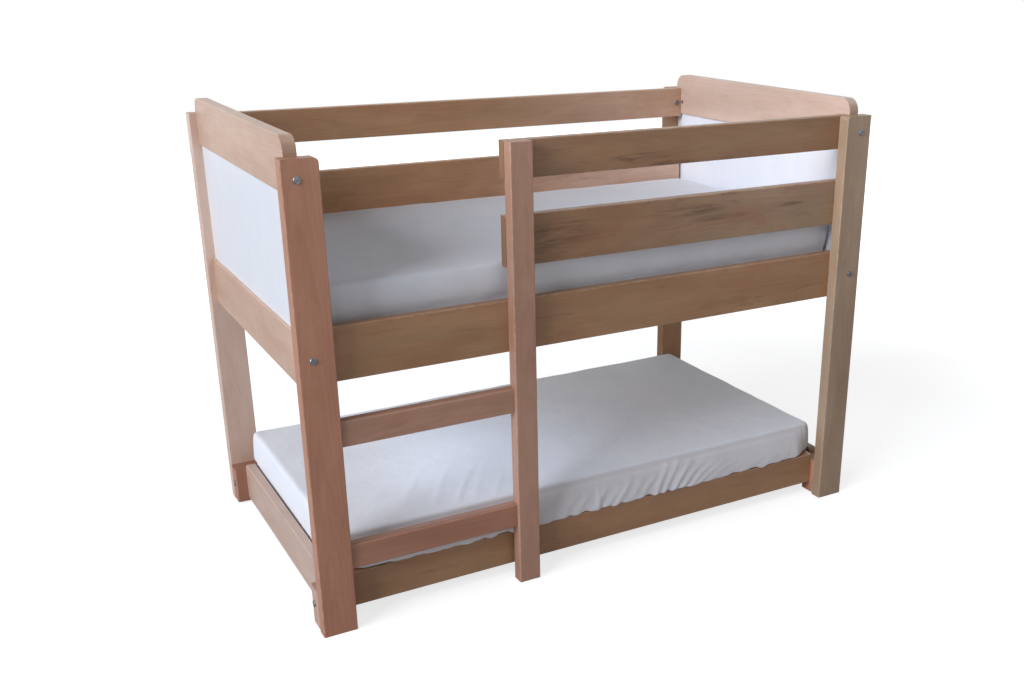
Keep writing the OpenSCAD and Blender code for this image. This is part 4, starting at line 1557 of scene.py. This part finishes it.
@dataclass(frozen=True)
class Studio:
    """White surroundings: a world, a floor, a soft key lamp from the left, and two lesser lamps.

    Attributes:
        zenith: Strength of the world overhead.
        horizon: Strength at the horizon, at the bed's ends.
        backdrop: Strength added there behind the bed.
        forward: Strength added there before the bed.
        sky: Colour of the world's light.
        white: Colour of what the camera sees of the world and of the floor's glow.
        floor_glow: Strength of the floor's glow round the bed.
        far_glow: Strength added to it far off.
        glow_span: Distances from the bed's middle between which that comes in.
        floor_size: Side of the floor in metres.
        floor_drop: Depth of the floor under the bed's feet.
        floor_light: Lighter colour of the floor.
        floor_dark: Darker colour of the floor.
        lamps: The lamps.
    """

    zenith: float = 0.14
    horizon: float = 0.45
    backdrop: float = 1.2
    forward: float = 0.31
    sky: Opaque = (0.96, 0.98, 1.0, 1.0)
    white: Opaque = (1.0, 1.0, 1.0, 1.0)
    floor_glow: float = 0.74
    far_glow: float = 0.5
    glow_span: tuple[float, float] = (1.6, 4.5)
    floor_size: float = 16.0
    floor_drop: float = 0.5 * MM
    floor_light: Opaque = linear(190, 190, 190)
    floor_dark: Opaque = linear(186, 186, 186)
    lamps: Sequence[Lamp] = LAMPS

    def build(self) -> None:
        """Make the world, the floor and the lamps."""
        self._world()
        self._floor()
        for lamp in self.lamps:
            lamp.build()

    def _world(self) -> None:
        """White for camera, mirrored and transmitted rays, and for all others a soft grey light.

        The grey grows from overhead to the horizon as a square, and before and behind the bed a smooth
        step of the direction adds to it.
        """
        shader = Shader(bpy.data.worlds.new("surroundings"))
        camera, glossy, through = (
            shader.node("ShaderNodeLightPath", output=name)
            for name in ("Is Camera Ray", "Is Glossy Ray", "Is Transmission Ray"))
        plain = shader.math("MAXIMUM", shader.math("MAXIMUM", camera, glossy), through)
        _, backward, upward = shader.axes(shader.node("ShaderNodeTexCoord", output="Generated"))
        level = 1 - shader.math("ABSOLUTE", upward)
        behind = backward.smooth(0.1, 0.9) * level * self.backdrop
        before = backward.smooth(-0.1, -0.9) * level * self.forward
        strength = level * level * (self.horizon - self.zenith) + self.zenith + behind + before
        soft = shader.node("ShaderNodeBackground", inputs={"Color": self.sky, "Strength": strength})
        white = shader.node("ShaderNodeBackground", inputs={"Color": self.white, "Strength": 1.0})
        mixed = shader.node("ShaderNodeMixShader", inputs={0: plain, 1: soft, 2: white})
        bpy.context.scene.world = shader.finish(mixed)

    def _floor(self) -> None:
        """A pale floor that glows for the camera alone, more so far off, and keeps the bed's shadow."""
        reach = self.floor_size / 2
        corners = np.array([[-reach, -reach], [reach, -reach], [reach, reach], [-reach, reach]])
        points = np.column_stack([corners, np.full(4, -self.floor_drop)])
        floor = build_mesh("floor", points, np.array([[0, 1, 2, 3]]), None)
        shader = Shader.named("pale_floor")
        place = shader.object_place()
        speck = shader.noise(place, (3, 3, 3), 3)
        colour = shader.mix(speck.smooth(0.3, 0.7), self.floor_light, self.floor_dark)
        matt = shader.node("ShaderNodeBsdfDiffuse", inputs={"Color": colour})
        x, y, _ = shader.axes(place)
        away = shader.math("SQRT", x * x + y * y).smooth(*self.glow_span)
        seen = shader.node("ShaderNodeLightPath", output="Is Camera Ray")
        strength = seen * (away * self.far_glow + self.floor_glow)
        glow = shader.node("ShaderNodeEmission", inputs={"Color": self.white, "Strength": strength})
        both = shader.node("ShaderNodeAddShader", inputs={0: matt, 1: glow})
        floor.data.materials.append(shader.finish(both))


@dataclass(frozen=True)
class PhotoCamera:
    """The camera at the photograph's place.

    Attributes:
        place: Its place in metres.
        ahead: Its direction of view.
        roll: Its turn round that direction, in radians.
        lens: Focal length in millimetres, for a sensor of the given width.
        sensor: Width of the sensor.
        shift: Shift of the picture as a share of its width, because the photograph is a crop.
    """

    place: Triple = (-1.5286, -3.0297, 1.6315)
    ahead: Triple = (0.47991, 0.80316, -0.35302)
    roll: float = 0.00699
    lens: float = 39.64
    sensor: float = 36.0
    shift: tuple[float, float] = (-0.0970, 0.0513)

    def build(self) -> None:
        """Make the camera and use it."""
        data = bpy.data.cameras.new("photo_camera")
        data.sensor_fit = "HORIZONTAL"
        data.sensor_width = self.sensor
        data.lens = self.lens
        data.shift_x, data.shift_y = self.shift
        forward = Vector(self.ahead).normalized()
        level = forward.cross(Vector((0, 0, 1))).normalized()
        upright = level.cross(forward)
        right = level * math.cos(self.roll) + upright * math.sin(self.roll)
        above = right.cross(forward)
        turn = Matrix((right, above, -forward)).transposed().to_4x4()
        camera = bpy.data.objects.new("photo_camera", data)
        camera.matrix_world = Matrix.Translation(self.place) @ turn
        bpy.context.scene.collection.objects.link(camera)
        bpy.context.scene.camera = camera


def main() -> None:
    """Dress the frame, make the soft goods, and set the stage."""
    logging.basicConfig(level=logging.INFO, format="%(message)s")
    bpy.context.scene.view_settings.view_transform = "Standard"
    PhotoCamera().build()
    Studio().build()
    WoodenParts(BEECH_BOARDS).dress()
    for node, grain in SLATS.items():
        put_on(node, SlatFinish(f"slat_{node}", grain).material())
    for node in WHITE_PANELS:
        put_on(node, WhitePanelFinish(f"white_{node}").material())
    zinc = ZincFinish("zinc_steel").material()
    for node in STEEL:
        put_on(node, zinc)
    Mattress("upper_mattress", "upper_pad", UPPER_SWELL).build()
    Mattress("lower_mattress", "lower_pad", LOWER_SWELL).build()
    # The upper sheet's shade of 0.9 is painted shade over its whole cloth.
    FittedSheet("upper_fitted_sheet", "upper_mattress", "upper_sheet", "upper_pad", UPPER_SWELL,
                seed=11, pulls=(), creases=(), slack=0.0008, free=0.018, tight_end=True, shade=0.9).build()
    # The lower sheet's front side carries painted shade.
    FittedSheet("lower_fitted_sheet", "lower_mattress", "lower_sheet", "lower_pad", LOWER_SWELL,
                seed=23, pulls=LOWER_PULLS, creases=LOWER_CREASES, slack=0.003, free=0.003,
                tight_end=False, front_painted_shade_share=0.6, rail="lower_front_rail").build()


if __name__ == "__main__":
    main()
